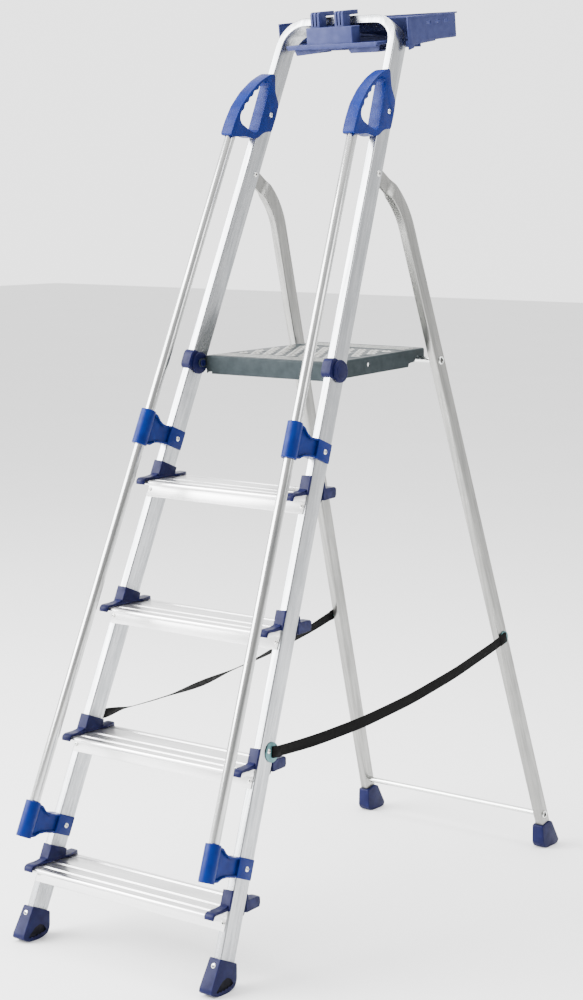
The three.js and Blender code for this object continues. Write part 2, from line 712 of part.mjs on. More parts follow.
function platformPlan(inset, front, rear) {
  const half = (y) => PLATFORM_HALF - inset - (y - PLATFORM_FRONT) * PLATFORM_TAPER;
  return [
    [-half(front), front],
    [half(front), front],
    [half(rear), rear],
    [-half(rear), rear],
  ];
}

function platform() {
  const top = PLATFORM_TOP;
  const sheet = PLATFORM_SHEET;
  const shell = alongZ(platformPlan(0, PLATFORM_FRONT, PLATFORM_REAR), top - SKIRT_DROP, top);
  const inside = alongZ(
    platformPlan(sheet, PLATFORM_FRONT + sheet, PLATFORM_REAR - sheet),
    top - SKIRT_DROP - 5,
    top - sheet,
  );
  const barY = legMiddleY(BAR_Z);
  const overBar = BAR_Z + BAR_RADIUS + GAP;
  const profile = acrossX(
    [
      [PLATFORM_FRONT - 1, top + 1],
      [PLATFORM_FRONT - 1, top - SKIRT_DROP],
      [PLATFORM_FRONT + 4, top - SKIRT_DROP],
      [PLATFORM_FRONT + 10, top - FLANGE_DROP],
      [barY - 73, top - FLANGE_DROP],
      [barY - 69, top - 24],
      [barY - 38, top - 24],
      [barY - 35, overBar],
      [PLATFORM_REAR - sheet - GAP, overBar],
      [PLATFORM_REAR - sheet - GAP, top - HOOK_DROP],
      [PLATFORM_REAR + 1, top - HOOK_DROP],
      [PLATFORM_REAR + 1, top + 1],
    ],
    -400,
    400,
  );
  const lugOuter = PLATFORM_HALF;
  const lug = union(
    rodX(PIN_Y, PIN_Z, LUG_RADIUS, lugOuter - sheet, lugOuter),
    block(
      lugOuter - sheet, lugOuter, PIN_Y, PLATFORM_FRONT + 8, PIN_Z - LUG_RADIUS, PIN_Z + LUG_RADIUS,
    ),
  );
  const bore = rodX(PIN_Y, PIN_Z, PIN_RADIUS + PIVOT_CLEARANCE, 0, 400);
  const lugs = lug.subtract(bore);
  return shell.subtract(inside).intersect(profile).add(lugs).add(lugs.mirror([1, 0, 0]));
}

// A moulded saddle over the stile's front with a round cheek on each side, in the stile's frame.
function platformSaddle() {
  const half = STILE_WIDTH / 2 + GAP;
  const along = alongStile(PIN_ALONG);
  const behind = STILE_DEPTH / 2;
  const cheeks = union(
    rodX(behind, along, SADDLE_RADIUS, half, half + SADDLE_DISC, 24),
    rodX(behind, along, SADDLE_RADIUS, -half - SADDLE_DISC, -half, 24),
    block(-half - SADDLE_DISC + 1, half + SADDLE_DISC - 1, -SADDLE_WEB, behind, along - 14, along + 14),
  );
  const stile = block(-half, half, -GAP, STILE_DEPTH + 20, along - 60, along + 60);
  const bore = moved(
    rodX(PIN_Y, PIN_Z, PIN_RADIUS + PIVOT_CLEARANCE, 0, pinOuterX() + GAP),
    stileToWorld.clone().invert(),
  );
  return cheeks.subtract(stile).subtract(bore);
}

function platformPin() {
  const lugInner = PLATFORM_HALF - PLATFORM_SHEET;
  return union(
    rodX(PIN_Y, PIN_Z, PIN_RADIUS, lugInner - 3, pinOuterX(), 14),
    rodX(PIN_Y, PIN_Z, PIN_RADIUS + 3, lugInner - 4, lugInner - 0.8, 14),
  );
}

// ---- Straps ----
function frontAnchor() {
  const face = STILE_WIDTH / 2 + GAP;
  return rodX(ANCHOR_BEHIND, alongStile(ANCHOR_ALONG), ANCHOR_RADIUS, face, face + ANCHOR_THICKNESS, 24);
}

function rearAnchor() {
  const face = LEG_WIDTH / 2 + GAP;
  const t = toLegT(REAR_ANCHOR_HEIGHT);
  return rodX(legMiddleY(t), t, REAR_ANCHOR_RADIUS, face, face + ANCHOR_THICKNESS, 24);
}

function strap() {
  const start = new THREE.Vector3(0, ANCHOR_BEHIND, alongStile(ANCHOR_ALONG)).applyMatrix4(stileToWorld);
  const endY = legMiddleY(REAR_ANCHOR_HEIGHT);
  const end = new THREE.Vector3(0, endY, toLegT(REAR_ANCHOR_HEIGHT)).applyMatrix4(legToWorld);
  const lift = STILE_WIDTH / 2 + GAP + ANCHOR_THICKNESS + 2 * GAP;
  const span = end.y - start.y;
  const steps = 14;
  const line = Array.from({ length: steps + 1 }, (_, i) => {
    const share = i / steps;
    const sag = 4 * STRAP_SAG * share * (1 - share);
    return [start.y + share * span, start.z + share * (end.z - start.z) - sag];
  });
  const half = STRAP_WIDTH / 2;
  const outline = [
    ...line.map(([y, z]) => [y, z - half]),
    ...line.reverse().map(([y, z]) => [y, z + half]),
  ];
  const drift = Math.atan2(start.x - end.x, span);
  const ribbon = acrossX(outline, 0, STRAP_THICKNESS);
  const turn = new THREE.Matrix4()
    .makeTranslation(start.x + lift, start.y, 0)
    .multiply(new THREE.Matrix4().makeRotationZ(drift))
    .multiply(new THREE.Matrix4().makeTranslation(0, -start.y, 0));
  return moved(ribbon, turn);
}

// ---- Tool tray, in its own frame: front bottom edge at the origin ----
function toolTray() {
  const wall = TRAY_WALL;
  const half = TRAY_HALF_WIDTH;
  const depth = TRAY_DEPTH;
  const top = TRAY_HEIGHT;
  const floor = TRAY_FLOOR;
  const hoopRear = frontFaceY(TRAY_BOTTOM + TRAY_HEIGHT) + STILE_DEPTH / Math.cos(FRONT_LEAN);
  const bin = hoopRear - TRAY_FRONT + TRAY_BIN_GAP;
  const side = acrossX(
    [
      [0, 0],
      [18, 3],
      [18, 9],
      [93, 12],
      [93, floor],
      [depth, floor],
      [depth, top],
      [0, top],
    ],
    half - wall,
    half,
  );
  const ledge = block(-106, 117, -48, bin + 1, 15, 21);
  const clip = block(-57, 56, -44, -16, 15, 54);
  const hooks = [-36, 23].map((x) =>
    union(
      block(x - 11, x + 11, -40, -16, 50, 84),
      block(x - 11, x + 11, -40, 12, 75, 84),
    ),
  );
  return union(
    side,
    side.mirror([1, 0, 0]),
    block(-half + 1, half - 1, bin, depth - 1, floor, floor + wall),
    block(-half + 1, half - 1, bin, bin + wall, 4, top),
    block(-half + 1, half - 1, depth - wall, depth, floor, top),
    block(-half - 1, half + 1, depth - wall, depth + 4, top - 2, top),
    ledge,
    clip,
    ...hooks,
  );
}

// ---- Assembly ----
const ladder = new THREE.Group();
const front = new THREE.Group();
front.rotation.x = -FRONT_LEAN;
front.add(mesh("front_frame", frontFrame(), ALUMINIUM));
ladder.add(front);

treadHeights().forEach((z, i) => {
  const plank = mesh("tread_" + (i + 1), tread(z), ALUMINIUM);
  plank.position.set(0, frontFaceY(z), z);
  ladder.add(plank);
});

const SIDES = { right: 1, left: -1 };

// Everything on one stile, made right-handed and mirrored for the left.
function addStile(side, mirror) {
  const hand = new THREE.Group();
  hand.scale.x = mirror;
  const stile = new THREE.Group();
  stile.applyMatrix4(stileToWorld);
  hand.add(stile);
  ladder.add(hand);

  const face = STILE_WIDTH / 2;
  const addRivet = (name, x, behind, along, length, head) => {
    const piece = mesh(name, rivet(length, head), ZINC);
    piece.position.set(x, behind, alongStile(along));
    stile.add(piece);
  };
  const addFrontRivet = (name, ahead, along, length) => {
    const piece = mesh(name, rivet(length), ZINC);
    piece.applyMatrix4(frontRivetPlace(ahead, along));
    stile.add(piece);
  };
  stile.add(mesh("handrail_" + side, handrail(), ALUMINIUM));
  stile.add(mesh("grip_handle_" + side, gripHandle(), BLUE));
  addRivet("grip_rivet_" + side, GRIP_WIDTH / 2 + GAP, STILE_DEPTH / 2, GRIP_RIVET, 7);
  for (const [level, along] of Object.entries(CLAMP_HEIGHTS)) {
    stile.add(mesh(`rail_clamp_${level}_${side}`, railClamp(along), BLUE));
    const plateFace = face + GAP + CLAMP_WALL + GAP;
    addRivet(`rail_clamp_rivet_${level}_${side}`, plateFace, STILE_DEPTH / 2, along, 7);
  }
  stile.add(mesh("platform_saddle_" + side, platformSaddle(), NAVY));
  stile.add(mesh("strap_anchor_front_" + side, frontAnchor(), ZINC));
  addFrontRivet("front_foot_rivet_" + side, FOOT_FRONT, FOOT_RIVET, 10);

  const pivot = mesh("leg_pivot_rivet_" + side, pivotRivet(), ZINC);
  pivot.position.set(0, PIVOT_BEHIND, alongStile(PIVOT_ALONG));
  stile.add(pivot);

  const base = mesh("front_foot_" + side, frontFoot(), NAVY);
  base.position.set(STILE_CENTRE, 0, 0);
  hand.add(base);

  treadHeights().forEach((z, i) => {
    const x = STILE_CENTRE - (z / Math.cos(FRONT_LEAN)) * Math.tan(STILE_SPLAY);
    const bracket = mesh(`tread_bracket_${side}_${i + 1}`, treadBracket(), NAVY);
    bracket.position.set(x, frontFaceY(z), z);
    hand.add(bracket);
    addFrontRivet(`tread_rivet_${side}_${i + 1}`, TREAD_SKIN + 2 * GAP + 0.4, treadRivetAlong(z), 5);
  });
  hand.add(mesh("platform_pin_" + side, platformPin(), ZINC));
  hand.add(mesh("strap_" + side, strap(), BLACK));
}

// The pivot rivet has a head on both faces of the stile.
function pivotRivet() {
  const reach = STILE_WIDTH / 2 + GAP;
  const head = rivet(reach * 2 - 0.5, RIVET_HEAD + 1, PIVOT_RADIUS).translate([reach, 0, 0]);
  const tail = rodX(0, 0, RIVET_HEAD, -reach - 1.6, -reach, 12);
  return head.add(tail).add(rodX(0, 0, PIVOT_RADIUS, -reach - 1, 0, 12));
}

function addLeg(side, mirror) {
  const hand = new THREE.Group();
  hand.scale.x = mirror;
  const leg = new THREE.Group();
  leg.applyMatrix4(legToWorld);
  leg.add(mesh("rear_leg_" + side, rearLeg(), ALUMINIUM));
  leg.add(mesh("strap_anchor_rear_" + side, rearAnchor(), ZINC));
  hand.add(leg);
  const base = mesh("rear_foot_" + side, rearFoot(), NAVY);
  base.position.set(LEG_CENTRE, FEET_SPREAD, 0);
  hand.add(base);
  ladder.add(hand);
}

for (const [side, mirror] of Object.entries(SIDES)) {
  addStile(side, mirror);
  addLeg(side, mirror);
}
ladder.add(mesh("cross_bar", legBar(CROSS_BAR_HEIGHT), ZINC));
ladder.add(mesh("platform_bar", legBar(BAR_Z), ZINC));
ladder.add(mesh("platform", platform(), GREY));

const tray = mesh("tool_tray", toolTray(), TRAY_BLUE);
tray.position.set(0, TRAY_FRONT, TRAY_BOTTOM);
tray.rotation.x = TRAY_TILT;
ladder.add(tray);

// The origin is the middle of the ladder's footprint, on the floor.
const bounds = new THREE.Box3().setFromObject(ladder, true);
ladder.position.y = -(bounds.min.y + bounds.max.y) / 2;
const model = new THREE.Group();
model.add(ladder);

export default model;
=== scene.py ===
"""Visual model of a folding platform step ladder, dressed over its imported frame.

Every piece is modelled in millimetres in the natural frame of what it sits on (the front frame, a
stile, a tread or a rear leg) and is then placed in the ladder's own frame in metres.
"""

import logging
import math
from dataclasses import dataclass, field
from enum import Enum
from functools import cache
from typing import Iterable, Sequence

import bpy
from mathutils import Matrix, Vector


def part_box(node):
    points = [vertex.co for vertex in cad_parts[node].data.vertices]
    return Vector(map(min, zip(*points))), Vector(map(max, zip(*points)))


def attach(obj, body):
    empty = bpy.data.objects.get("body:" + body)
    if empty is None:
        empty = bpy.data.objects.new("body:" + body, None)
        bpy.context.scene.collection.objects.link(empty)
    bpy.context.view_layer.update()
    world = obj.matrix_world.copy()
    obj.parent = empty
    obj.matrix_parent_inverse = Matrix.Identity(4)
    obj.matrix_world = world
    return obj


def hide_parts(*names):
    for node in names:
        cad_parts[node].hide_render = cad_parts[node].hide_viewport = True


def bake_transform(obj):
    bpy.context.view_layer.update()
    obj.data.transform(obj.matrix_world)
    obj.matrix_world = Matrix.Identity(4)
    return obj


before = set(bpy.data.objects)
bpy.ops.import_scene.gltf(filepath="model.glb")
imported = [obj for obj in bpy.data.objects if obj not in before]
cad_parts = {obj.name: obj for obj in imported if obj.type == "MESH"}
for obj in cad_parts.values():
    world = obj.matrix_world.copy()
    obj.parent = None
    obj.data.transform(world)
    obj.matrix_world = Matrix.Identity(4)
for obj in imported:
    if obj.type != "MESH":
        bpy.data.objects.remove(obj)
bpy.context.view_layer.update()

Point = tuple[float, float]
Place = tuple[float, float, float]
Piece = bpy.types.Object

log = logging.getLogger("ladder")
MM = 0.001


# ---------------------------------------------------------------- sizes


@dataclass(frozen=True)
class Layout:
    """Sizes that more than one sub-assembly shares, in millimetres and radians."""

    lean: float = math.radians(21.6)
    splay: float = math.radians(3.08)
    half_width: float = 246.5
    stile_width: float = 18.0
    stile_depth: float = 42.0
    frame_length: float = 1903.0
    rear_lean: float = math.radians(18.3)
    leg_splay: float = math.radians(3.3)
    leg_half_width: float = 248.0
    leg_width: float = 18.0
    leg_depth: float = 31.0
    feet_spread: float = 1154.0
    first_tread: float = 145.0
    tread_rise: float = 240.0
    tread_count: int = 4
    cross_bar: float = 75.0
    pivot_along: float = 1580.0
    pivot_behind: float = 30.0

    @property
    def tread_tops(self) -> list[float]:
        """Height of each tread's top above the floor."""
        return [self.first_tread + self.tread_rise * i for i in range(self.tread_count)]

    @property
    def platform_top(self) -> float:
        """Height of the platform's top above the floor."""
        return self.first_tread + self.tread_rise * self.tread_count

    @property
    def stile_centre(self) -> float:
        """Centre line of the ladder to a stile's middle, at the floor."""
        return self.half_width - self.stile_width / 2

    @property
    def leg_centre(self) -> float:
        """Centre line of the ladder to a rear leg's middle, at the floor."""
        return self.leg_half_width - self.leg_width / 2

    def face_y(self, z: float) -> float:
        """Depth of the front frame's front face at a height."""
        return z * math.tan(self.lean)

    def stile_inner_x(self, z: float) -> float:
        """Half the clear width between the stiles at a height."""
        rise = z / math.cos(self.lean) * math.tan(self.splay)
        return self.half_width - self.stile_width / math.cos(self.splay) - rise

    def along(self, distance: float) -> float:
        """A distance up the frame, measured along a splayed stile instead."""
        return distance / math.cos(self.splay)

    def leg_y(self, z: float) -> float:
        """Depth of a rear leg's middle line at a height, on its straight run."""
        return self.feet_spread - z * math.tan(self.rear_lean)

    def leg_t(self, z: float) -> float:
        """A height, measured along a splayed rear leg instead."""
        return z / math.cos(self.leg_splay)


SIZES = Layout()


class Body(str, Enum):
    """The rigid bodies that a piece can ride on."""

    FRONT = "front"
    REAR = "rear"
    DECK = "deck"


class Side(Enum):
    """The two hands of a paired piece."""

    RIGHT = "right"
    LEFT = "left"


# ---------------------------------------------------------------- frames of reference


def row_shift() -> float:
    """Find how far the ladder's own frame is set back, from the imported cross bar.

    Returns:
        The offset along Y in millimetres.
    """
    low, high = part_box("cross_bar")
    return (low[1] + high[1]) / 2 / MM - SIZES.leg_y(SIZES.cross_bar)


SHIFT = Matrix.Translation((0.0, row_shift(), 0.0))
TO_ROW = Matrix.Scale(MM, 4) @ SHIFT
FRAME_SPACE = Matrix.Rotation(-SIZES.lean, 4, "X")
STILE_TURN = FRAME_SPACE @ Matrix.Rotation(-SIZES.splay, 4, "Y")
STILE_SPACE = (
    FRAME_SPACE @ Matrix.Translation((SIZES.stile_centre, 0.0, 0.0)) @ Matrix.Rotation(
        -SIZES.splay, 4, "Y",
    )
)
LEG_SPACE = Matrix.Translation((SIZES.leg_centre, 0.0, 0.0)) @ Matrix.Rotation(
    -SIZES.leg_splay, 4, "Y",
)
MIRROR = Matrix.Scale(-1.0, 4, (1.0, 0.0, 0.0))


def tread_space(z: float) -> Matrix:
    """Return the frame whose origin is where the front face meets a tread's top."""
    return Matrix.Translation((0.0, SIZES.face_y(z), z))


def bracket_space(z: float) -> Matrix:
    """Return the frame at the middle of the right stile's front face at a tread's top."""
    x = SIZES.stile_inner_x(z) + SIZES.stile_width / 2
    return Matrix.Translation((x, SIZES.face_y(z), z))


# ---------------------------------------------------------------- outlines


def arc(centre: Point, radius: float, start: float, end: float, steps: int) -> list[Point]:
    """Return points round part of a circle.

    Args:
        centre: The circle's centre.
        radius: Its radius.
        start: First angle in radians.
        end: Last angle in radians.
        steps: Number of spans.

    Returns:
        The points, from start to end.
    """
    turns = [start + (end - start) * i / steps for i in range(steps + 1)]
    return [(centre[0] + radius * math.cos(t), centre[1] + radius * math.sin(t)) for t in turns]


def rounded(points: Sequence[Point], radius: float, steps: int = 4) -> list[Point]:
    """Round every corner of a closed outline.

    Args:
        points: The outline's corners.
        radius: How far from each corner the rounding starts.
        steps: Spans in each rounded corner.

    Returns:
        The outline with its corners rounded.
    """
    result: list[Point] = []
    count = len(points)
    for i, corner in enumerate(points):
        here = Vector(corner)
        before, after = Vector(points[i - 1]) - here, Vector(points[(i + 1) % count]) - here
        start = here + before.normalized() * min(radius, before.length * 0.45)
        end = here + after.normalized() * min(radius, after.length * 0.45)
        for j in range(steps + 1):
            t = j / steps
            at = start * (1 - t) ** 2 + here * (2 * t * (1 - t)) + end * t * t
            result.append((at.x, at.y))
    return result


# ---------------------------------------------------------------- modelling steps


def clear_selection() -> None:
    """Leave object mode with nothing selected."""
    if bpy.context.object and bpy.context.object.mode != "OBJECT":
        bpy.ops.object.mode_set(mode="OBJECT")
    bpy.ops.object.select_all(action="DESELECT")


def pick(piece: Piece) -> None:
    """Make a piece the only one selected, and the active one."""
    clear_selection()
    piece.select_set(True)
    bpy.context.view_layer.objects.active = piece


def newest(name: str) -> Piece:
    """Name the primitive that was just added, and return it."""
    piece = bpy.context.active_object
    piece.name = name
    piece.data.name = name
    return piece


def face_outwards(piece: Piece, merge: float = 1e-4) -> None:
    """Merge a piece's doubles and turn all its faces outwards."""
    pick(piece)
    bpy.ops.object.mode_set(mode="EDIT")
    bpy.ops.mesh.select_all(action="SELECT")
    bpy.ops.mesh.remove_doubles(threshold=merge)
    bpy.ops.mesh.normals_make_consistent(inside=False)
    bpy.ops.object.mode_set(mode="OBJECT")
    volume = sum(face.center.dot(face.normal) * face.area for face in piece.data.polygons)
    if volume < 0:
        bpy.ops.object.mode_set(mode="EDIT")
        bpy.ops.mesh.flip_normals()
        bpy.ops.object.mode_set(mode="OBJECT")


class Plane(Enum):
    """The plane an outline is drawn in, and so the axis that it is extruded along."""

    ACROSS_X = "yz"
    ACROSS_Y = "xz"
    ACROSS_Z = "xy"

    def lift(self, point: Point, depth: float) -> Place:
        """Return an outline's point in space, at a distance along the plane's own axis."""
        a, b = point
        if self is Plane.ACROSS_X:
            return (depth, a, b)
        if self is Plane.ACROSS_Y:
            return (a, depth, b)
        return (a, b, depth)


def extruded(name: str, points: Sequence[Point], plane: Plane, start: float, end: float) -> Piece:
    """Make a prism: a disc whose rim is laid along an outline and extruded.

    Args:
        name: The piece's name.
        points: The closed outline.
        plane: The plane it is drawn in.
        start: Where the prism starts along the plane's axis.
        end: Where it ends.

    Returns:
        The prism, as one closed mesh.
    """
    clear_selection()
    bpy.ops.mesh.primitive_circle_add(vertices=len(points), radius=1.0, fill_type="NGON")
    piece = newest(name)
    for vertex, point in zip(piece.data.vertices, points):
        vertex.co = plane.lift(point, start)
    bpy.ops.object.mode_set(mode="EDIT")
    bpy.ops.mesh.select_all(action="SELECT")
    reach = Vector(plane.lift((0.0, 0.0), end - start))
    bpy.ops.mesh.extrude_region_move(TRANSFORM_OT_translate={"value": reach})
    bpy.ops.object.mode_set(mode="OBJECT")
    face_outwards(piece)
    return piece


def slab(name: str, low: Place, high: Place) -> Piece:
    """Make a rectangular block from its lowest to its highest corner."""
    outline = [(low[0], low[1]), (high[0], low[1]), (high[0], high[1]), (low[0], high[1])]
    return extruded(name, outline, Plane.ACROSS_Z, low[2], high[2])


def rod(name: str, start: Place, end: Place, radius: float, sides: int = 40) -> Piece:
    """Make a round bar between two points."""
    a, b = Vector(start), Vector(end)
    clear_selection()
    bpy.ops.mesh.primitive_cylinder_add(vertices=sides, radius=radius, depth=(b - a).length)
    piece = newest(name)
    turn = (b - a).to_track_quat("Z", "Y").to_matrix().to_4x4()
    settle(piece, Matrix.Translation((a + b) / 2) @ turn)
    return piece


def settle(piece: Piece, matrix: Matrix) -> None:
    """Move a piece by a matrix and take its new place into its mesh."""
    pick(piece)
    piece.matrix_world = matrix @ piece.matrix_world
    bpy.ops.object.transform_apply(location=True, rotation=True, scale=True)


def use(piece: Piece, kind: str, **settings: object) -> None:
    """Add a modifier with its settings, and apply it.

    Args:
        piece: The piece that is changed.
        kind: The modifier's type.
        **settings: Values for the modifier's properties.
    """
    pick(piece)
    modifier = piece.modifiers.new(kind.title(), kind)
    for key, value in settings.items():
        setattr(modifier, key, value)
    bpy.ops.object.modifier_apply(modifier=modifier.name)


def soften(piece: Piece, width: float, segments: int = 3, angle: float = 32.0) -> None:
    """Round a piece's sharp edges."""
    use(
        piece, "BEVEL", width=width, segments=segments, limit_method="ANGLE",
        angle_limit=math.radians(angle), use_clamp_overlap=True, miter_outer="MITER_ARC",
    )


def remove(piece: Piece) -> None:
    """Remove a piece from the scene."""
    bpy.data.objects.remove(piece, do_unlink=True)


def carve(piece: Piece, *cutters: Piece) -> None:
    """Cut other pieces out of this one, and remove them."""
    for cutter in cutters:
        use(piece, "BOOLEAN", operation="DIFFERENCE", object=cutter, solver="EXACT")
        remove(cutter)


def fuse(piece: Piece, *others: Piece) -> Piece:
    """Join other pieces to this one as one solid, and remove them."""
    for other in others:
        use(piece, "BOOLEAN", operation="UNION", object=other, solver="EXACT")
        remove(other)
    return piece


def keep_inside(piece: Piece, limit: Piece) -> None:
    """Keep only what lies inside another piece, and remove that one."""
    use(piece, "BOOLEAN", operation="INTERSECT", object=limit, solver="EXACT")
    remove(limit)


def gather(piece: Piece, *others: Piece) -> Piece:
    """Join separate shells into one object."""
    pick(piece)
    for other in others:
        other.select_set(True)
    bpy.ops.object.join()
    return piece


def copy_of(piece: Piece, name: str, matrix: Matrix | None = None) -> Piece:
    """Copy a piece with a mesh of its own, and move the copy.

    Args:
        piece: The piece to copy.
        name: The copy's name.
        matrix: Where the copy goes, if it moves.

    Returns:
        The copy.
    """
    twin = piece.copy()
    twin.data = piece.data.copy()
    twin.name = name
    twin.data.name = name
    bpy.context.collection.objects.link(twin)
    if matrix is not None:
        settle(twin, matrix)
        if matrix.determinant() < 0:
            face_outwards(twin, 1e-7)
    return twin


def shade(piece: Piece, angle: float = 35.0) -> None:
    """Smooth a piece's shading across its gentle edges."""
    pick(piece)
    bpy.ops.object.shade_smooth_by_angle(angle=math.radians(angle))


# ---------------------------------------------------------------- node helpers


class Wiring:
    """A node tree with short ways to add and join its nodes."""

    def __init__(self, tree: bpy.types.NodeTree) -> None:
        """Keep the tree that nodes are added to."""
        self.tree = tree

    def add(self, kind: str, values: dict[object, object] | None = None, **settings: object):
        """Add a node.

        Args:
            kind: The node's type name.
            values: Input socket names or numbers, with a value or another node's output.
            **settings: Values for the node's own properties.

        Returns:
            The node.
        """
        node = self.tree.nodes.new(kind)
        for key, value in settings.items():
            setattr(node, key, value)
        for key, value in (values or {}).items():
            if isinstance(value, bpy.types.NodeSocket):
                self.tree.links.new(value, node.inputs[key])
            else:
                node.inputs[key].default_value = value
        return node

    def feed(self, node: bpy.types.Node, sockets: dict[str, bpy.types.NodeSocket]) -> None:
        """Join outputs to a node's inputs, by the inputs' names."""
        for name, socket in sockets.items():
            self.tree.links.new(socket, node.inputs[name])

    def math(self, operation: str, a: object, b: object) -> bpy.types.NodeSocket:
        """Add a Math node, and return its result."""
        return self.add("ShaderNodeMath", {0: a, 1: b}, operation=operation).outputs[0]

    def mix(self, share: object, a: object, b: object) -> bpy.types.NodeSocket:
        """Mix two colours, and return the result."""
        node = self.add("ShaderNodeMix", {0: share}, data_type="RGBA")
        for index, value in ((6, a), (7, b)):
            if isinstance(value, bpy.types.NodeSocket):
                self.tree.links.new(value, node.inputs[index])
            else:
                node.inputs[index].default_value = value
        return node.outputs[2]

    def spread(self, value: object, low: object, high: object, clamp: bool = True):
        """Map a value from 0..1 to a new range, and return the result."""
        node = self.add("ShaderNodeMapRange", {0: value, 3: low, 4: high}, clamp=clamp)
        return node.outputs[0]

    def ramp(self, value: object, low: float, high: float) -> bpy.types.NodeSocket:
        """Turn the part of a value between two limits into 0..1, and return it."""
        return self.add("ShaderNodeMapRange", {0: value, 1: low, 2: high}).outputs[0]


def new_group(name: str, inputs: dict[str, tuple[str, object]], outputs: dict[str, str]):
    """Start a shader node group.

    Args:
        name: The group's name.
        inputs: Each input's name, with its socket type and default value.
        outputs: Each output's name, with its socket type.

    Returns:
        The group's tree, its wiring, its input node and its output node.
    """
    tree = bpy.data.node_groups.new(name, "ShaderNodeTree")
    for label, (kind, default) in inputs.items():
        socket = tree.interface.new_socket(name=label, in_out="INPUT", socket_type=kind)
        if default is not None:
            socket.default_value = default
    for label, kind in outputs.items():
        tree.interface.new_socket(name=label, in_out="OUTPUT", socket_type=kind)
    wires = Wiring(tree)
    return tree, wires, wires.add("NodeGroupInput"), wires.add("NodeGroupOutput")


FLOAT, COLOR, VECTOR = "NodeSocketFloat", "NodeSocketColor", "NodeSocketVector"


@cache
def drawn_grain_group() -> bpy.types.NodeTree:
    """Build the group for the fine lines along drawn metal.

    Returns:
        A group that turns a vector whose Z runs along the metal into shade, roughness and height.
    """
    tree, w, start, end = new_group(
        "Drawn grain",
        {
            "Vector": (VECTOR, None), "Dark": (COLOR, (0.6, 0.6, 0.6, 1.0)),
            "Light": (COLOR, (0.9, 0.9, 0.9, 1.0)), "Smoothest": (FLOAT, 0.25),
            "Roughest": (FLOAT, 0.45),
        },
        {"Color": COLOR, "Roughness": FLOAT, "Height": FLOAT},
    )
    fine = w.add("ShaderNodeMapping", {0: start.outputs["Vector"], 3: (900.0, 900.0, 6.0)})
    broad = w.add("ShaderNodeMapping", {0: start.outputs["Vector"], 3: (160.0, 160.0, 0.9)})
    lines = w.add("ShaderNodeTexNoise", {0: fine.outputs[0], "Scale": 1.0, "Detail": 3.0})
    bands = w.add("ShaderNodeTexNoise", {0: broad.outputs[0], "Scale": 1.0, "Detail": 2.0})
    blotch = w.add("ShaderNodeTexNoise", {0: start.outputs["Vector"], "Scale": 26.0, "Detail": 4.0})
    shade_mix = w.math("ADD", w.math("MULTIPLY", lines.outputs[0], 0.35), bands.outputs[0])
    shade_mix = w.math("ADD", shade_mix, w.math("MULTIPLY", blotch.outputs[0], 0.3))
    share = w.ramp(shade_mix, 0.55, 1.05)
    tone = w.mix(share, start.outputs["Dark"], start.outputs["Light"])
    rough = w.spread(share, start.outputs["Roughest"], start.outputs["Smoothest"])
    w.feed(end, {"Color": tone, "Roughness": rough, "Height": lines.outputs[0]})
    return tree


@cache
def edge_wear_group() -> bpy.types.NodeTree:
    """Build the group that finds rubbed edges.

    Returns:
        A group that gives a mask of worn edges from a vector and an amount.
    """
    tree, w, start, end = new_group(
        "Edge wear", {"Vector": (VECTOR, None), "Amount": (FLOAT, 0.5)}, {"Mask": FLOAT},
    )
    surface = w.add("ShaderNodeNewGeometry")
    edge = w.ramp(surface.outputs["Pointiness"], 0.53, 0.6)
    patches = w.add(
        "ShaderNodeTexNoise", {0: start.outputs["Vector"], "Scale": 90.0, "Detail": 5.0},
    )
    broken = w.math("MULTIPLY", edge, w.ramp(patches.outputs[0], 0.42, 0.62))
    mask = w.math("MULTIPLY", broken, start.outputs["Amount"])
    w.feed(end, {"Mask": mask})
    return tree


@cache
def moulded_grain_group() -> bpy.types.NodeTree:
    """Build the group for the fine leathery grain of moulded plastic.

    Returns:
        A group that gives a shade, a roughness and a height from a vector.
    """
    tree, w, start, end = new_group(
        "Moulded grain",
        {
            "Vector": (VECTOR, None), "Dark": (COLOR, (0.02, 0.02, 0.1, 1.0)),
            "Light": (COLOR, (0.05, 0.05, 0.2, 1.0)), "Smoothest": (FLOAT, 0.35),
            "Roughest": (FLOAT, 0.55),
        },
        {"Color": COLOR, "Roughness": FLOAT, "Height": FLOAT},
    )
    grain = w.add("ShaderNodeTexVoronoi", {0: start.outputs["Vector"], "Scale": 1300.0})
    cloud = w.add("ShaderNodeTexNoise", {0: start.outputs["Vector"], "Scale": 60.0, "Detail": 6.0})
    share = w.ramp(cloud.outputs[0], 0.3, 0.7)
    tone = w.mix(share, start.outputs["Dark"], start.outputs["Light"])
    rough = w.spread(share, start.outputs["Roughest"], start.outputs["Smoothest"])
    w.feed(end, {"Color": tone, "Roughness": rough, "Height": grain.outputs["Distance"]})
    return tree


# ---------------------------------------------------------------- finishes


Rgb = tuple[float, float, float]


def rgba(colour: Rgb) -> tuple[float, float, float, float]:
    """Return a colour with full opacity."""
    return (*colour, 1.0)


def start_material(name: str) -> tuple[bpy.types.Material, Wiring, bpy.types.Node]:
    """Make a material with a Principled BSDF.

    Args:
        name: The material's name.

    Returns:
        The material, its wiring and its shader.
    """
    material = bpy.data.materials.new(name)
    material.use_nodes = True
    return material, Wiring(material.node_tree), material.node_tree.nodes["Principled BSDF"]


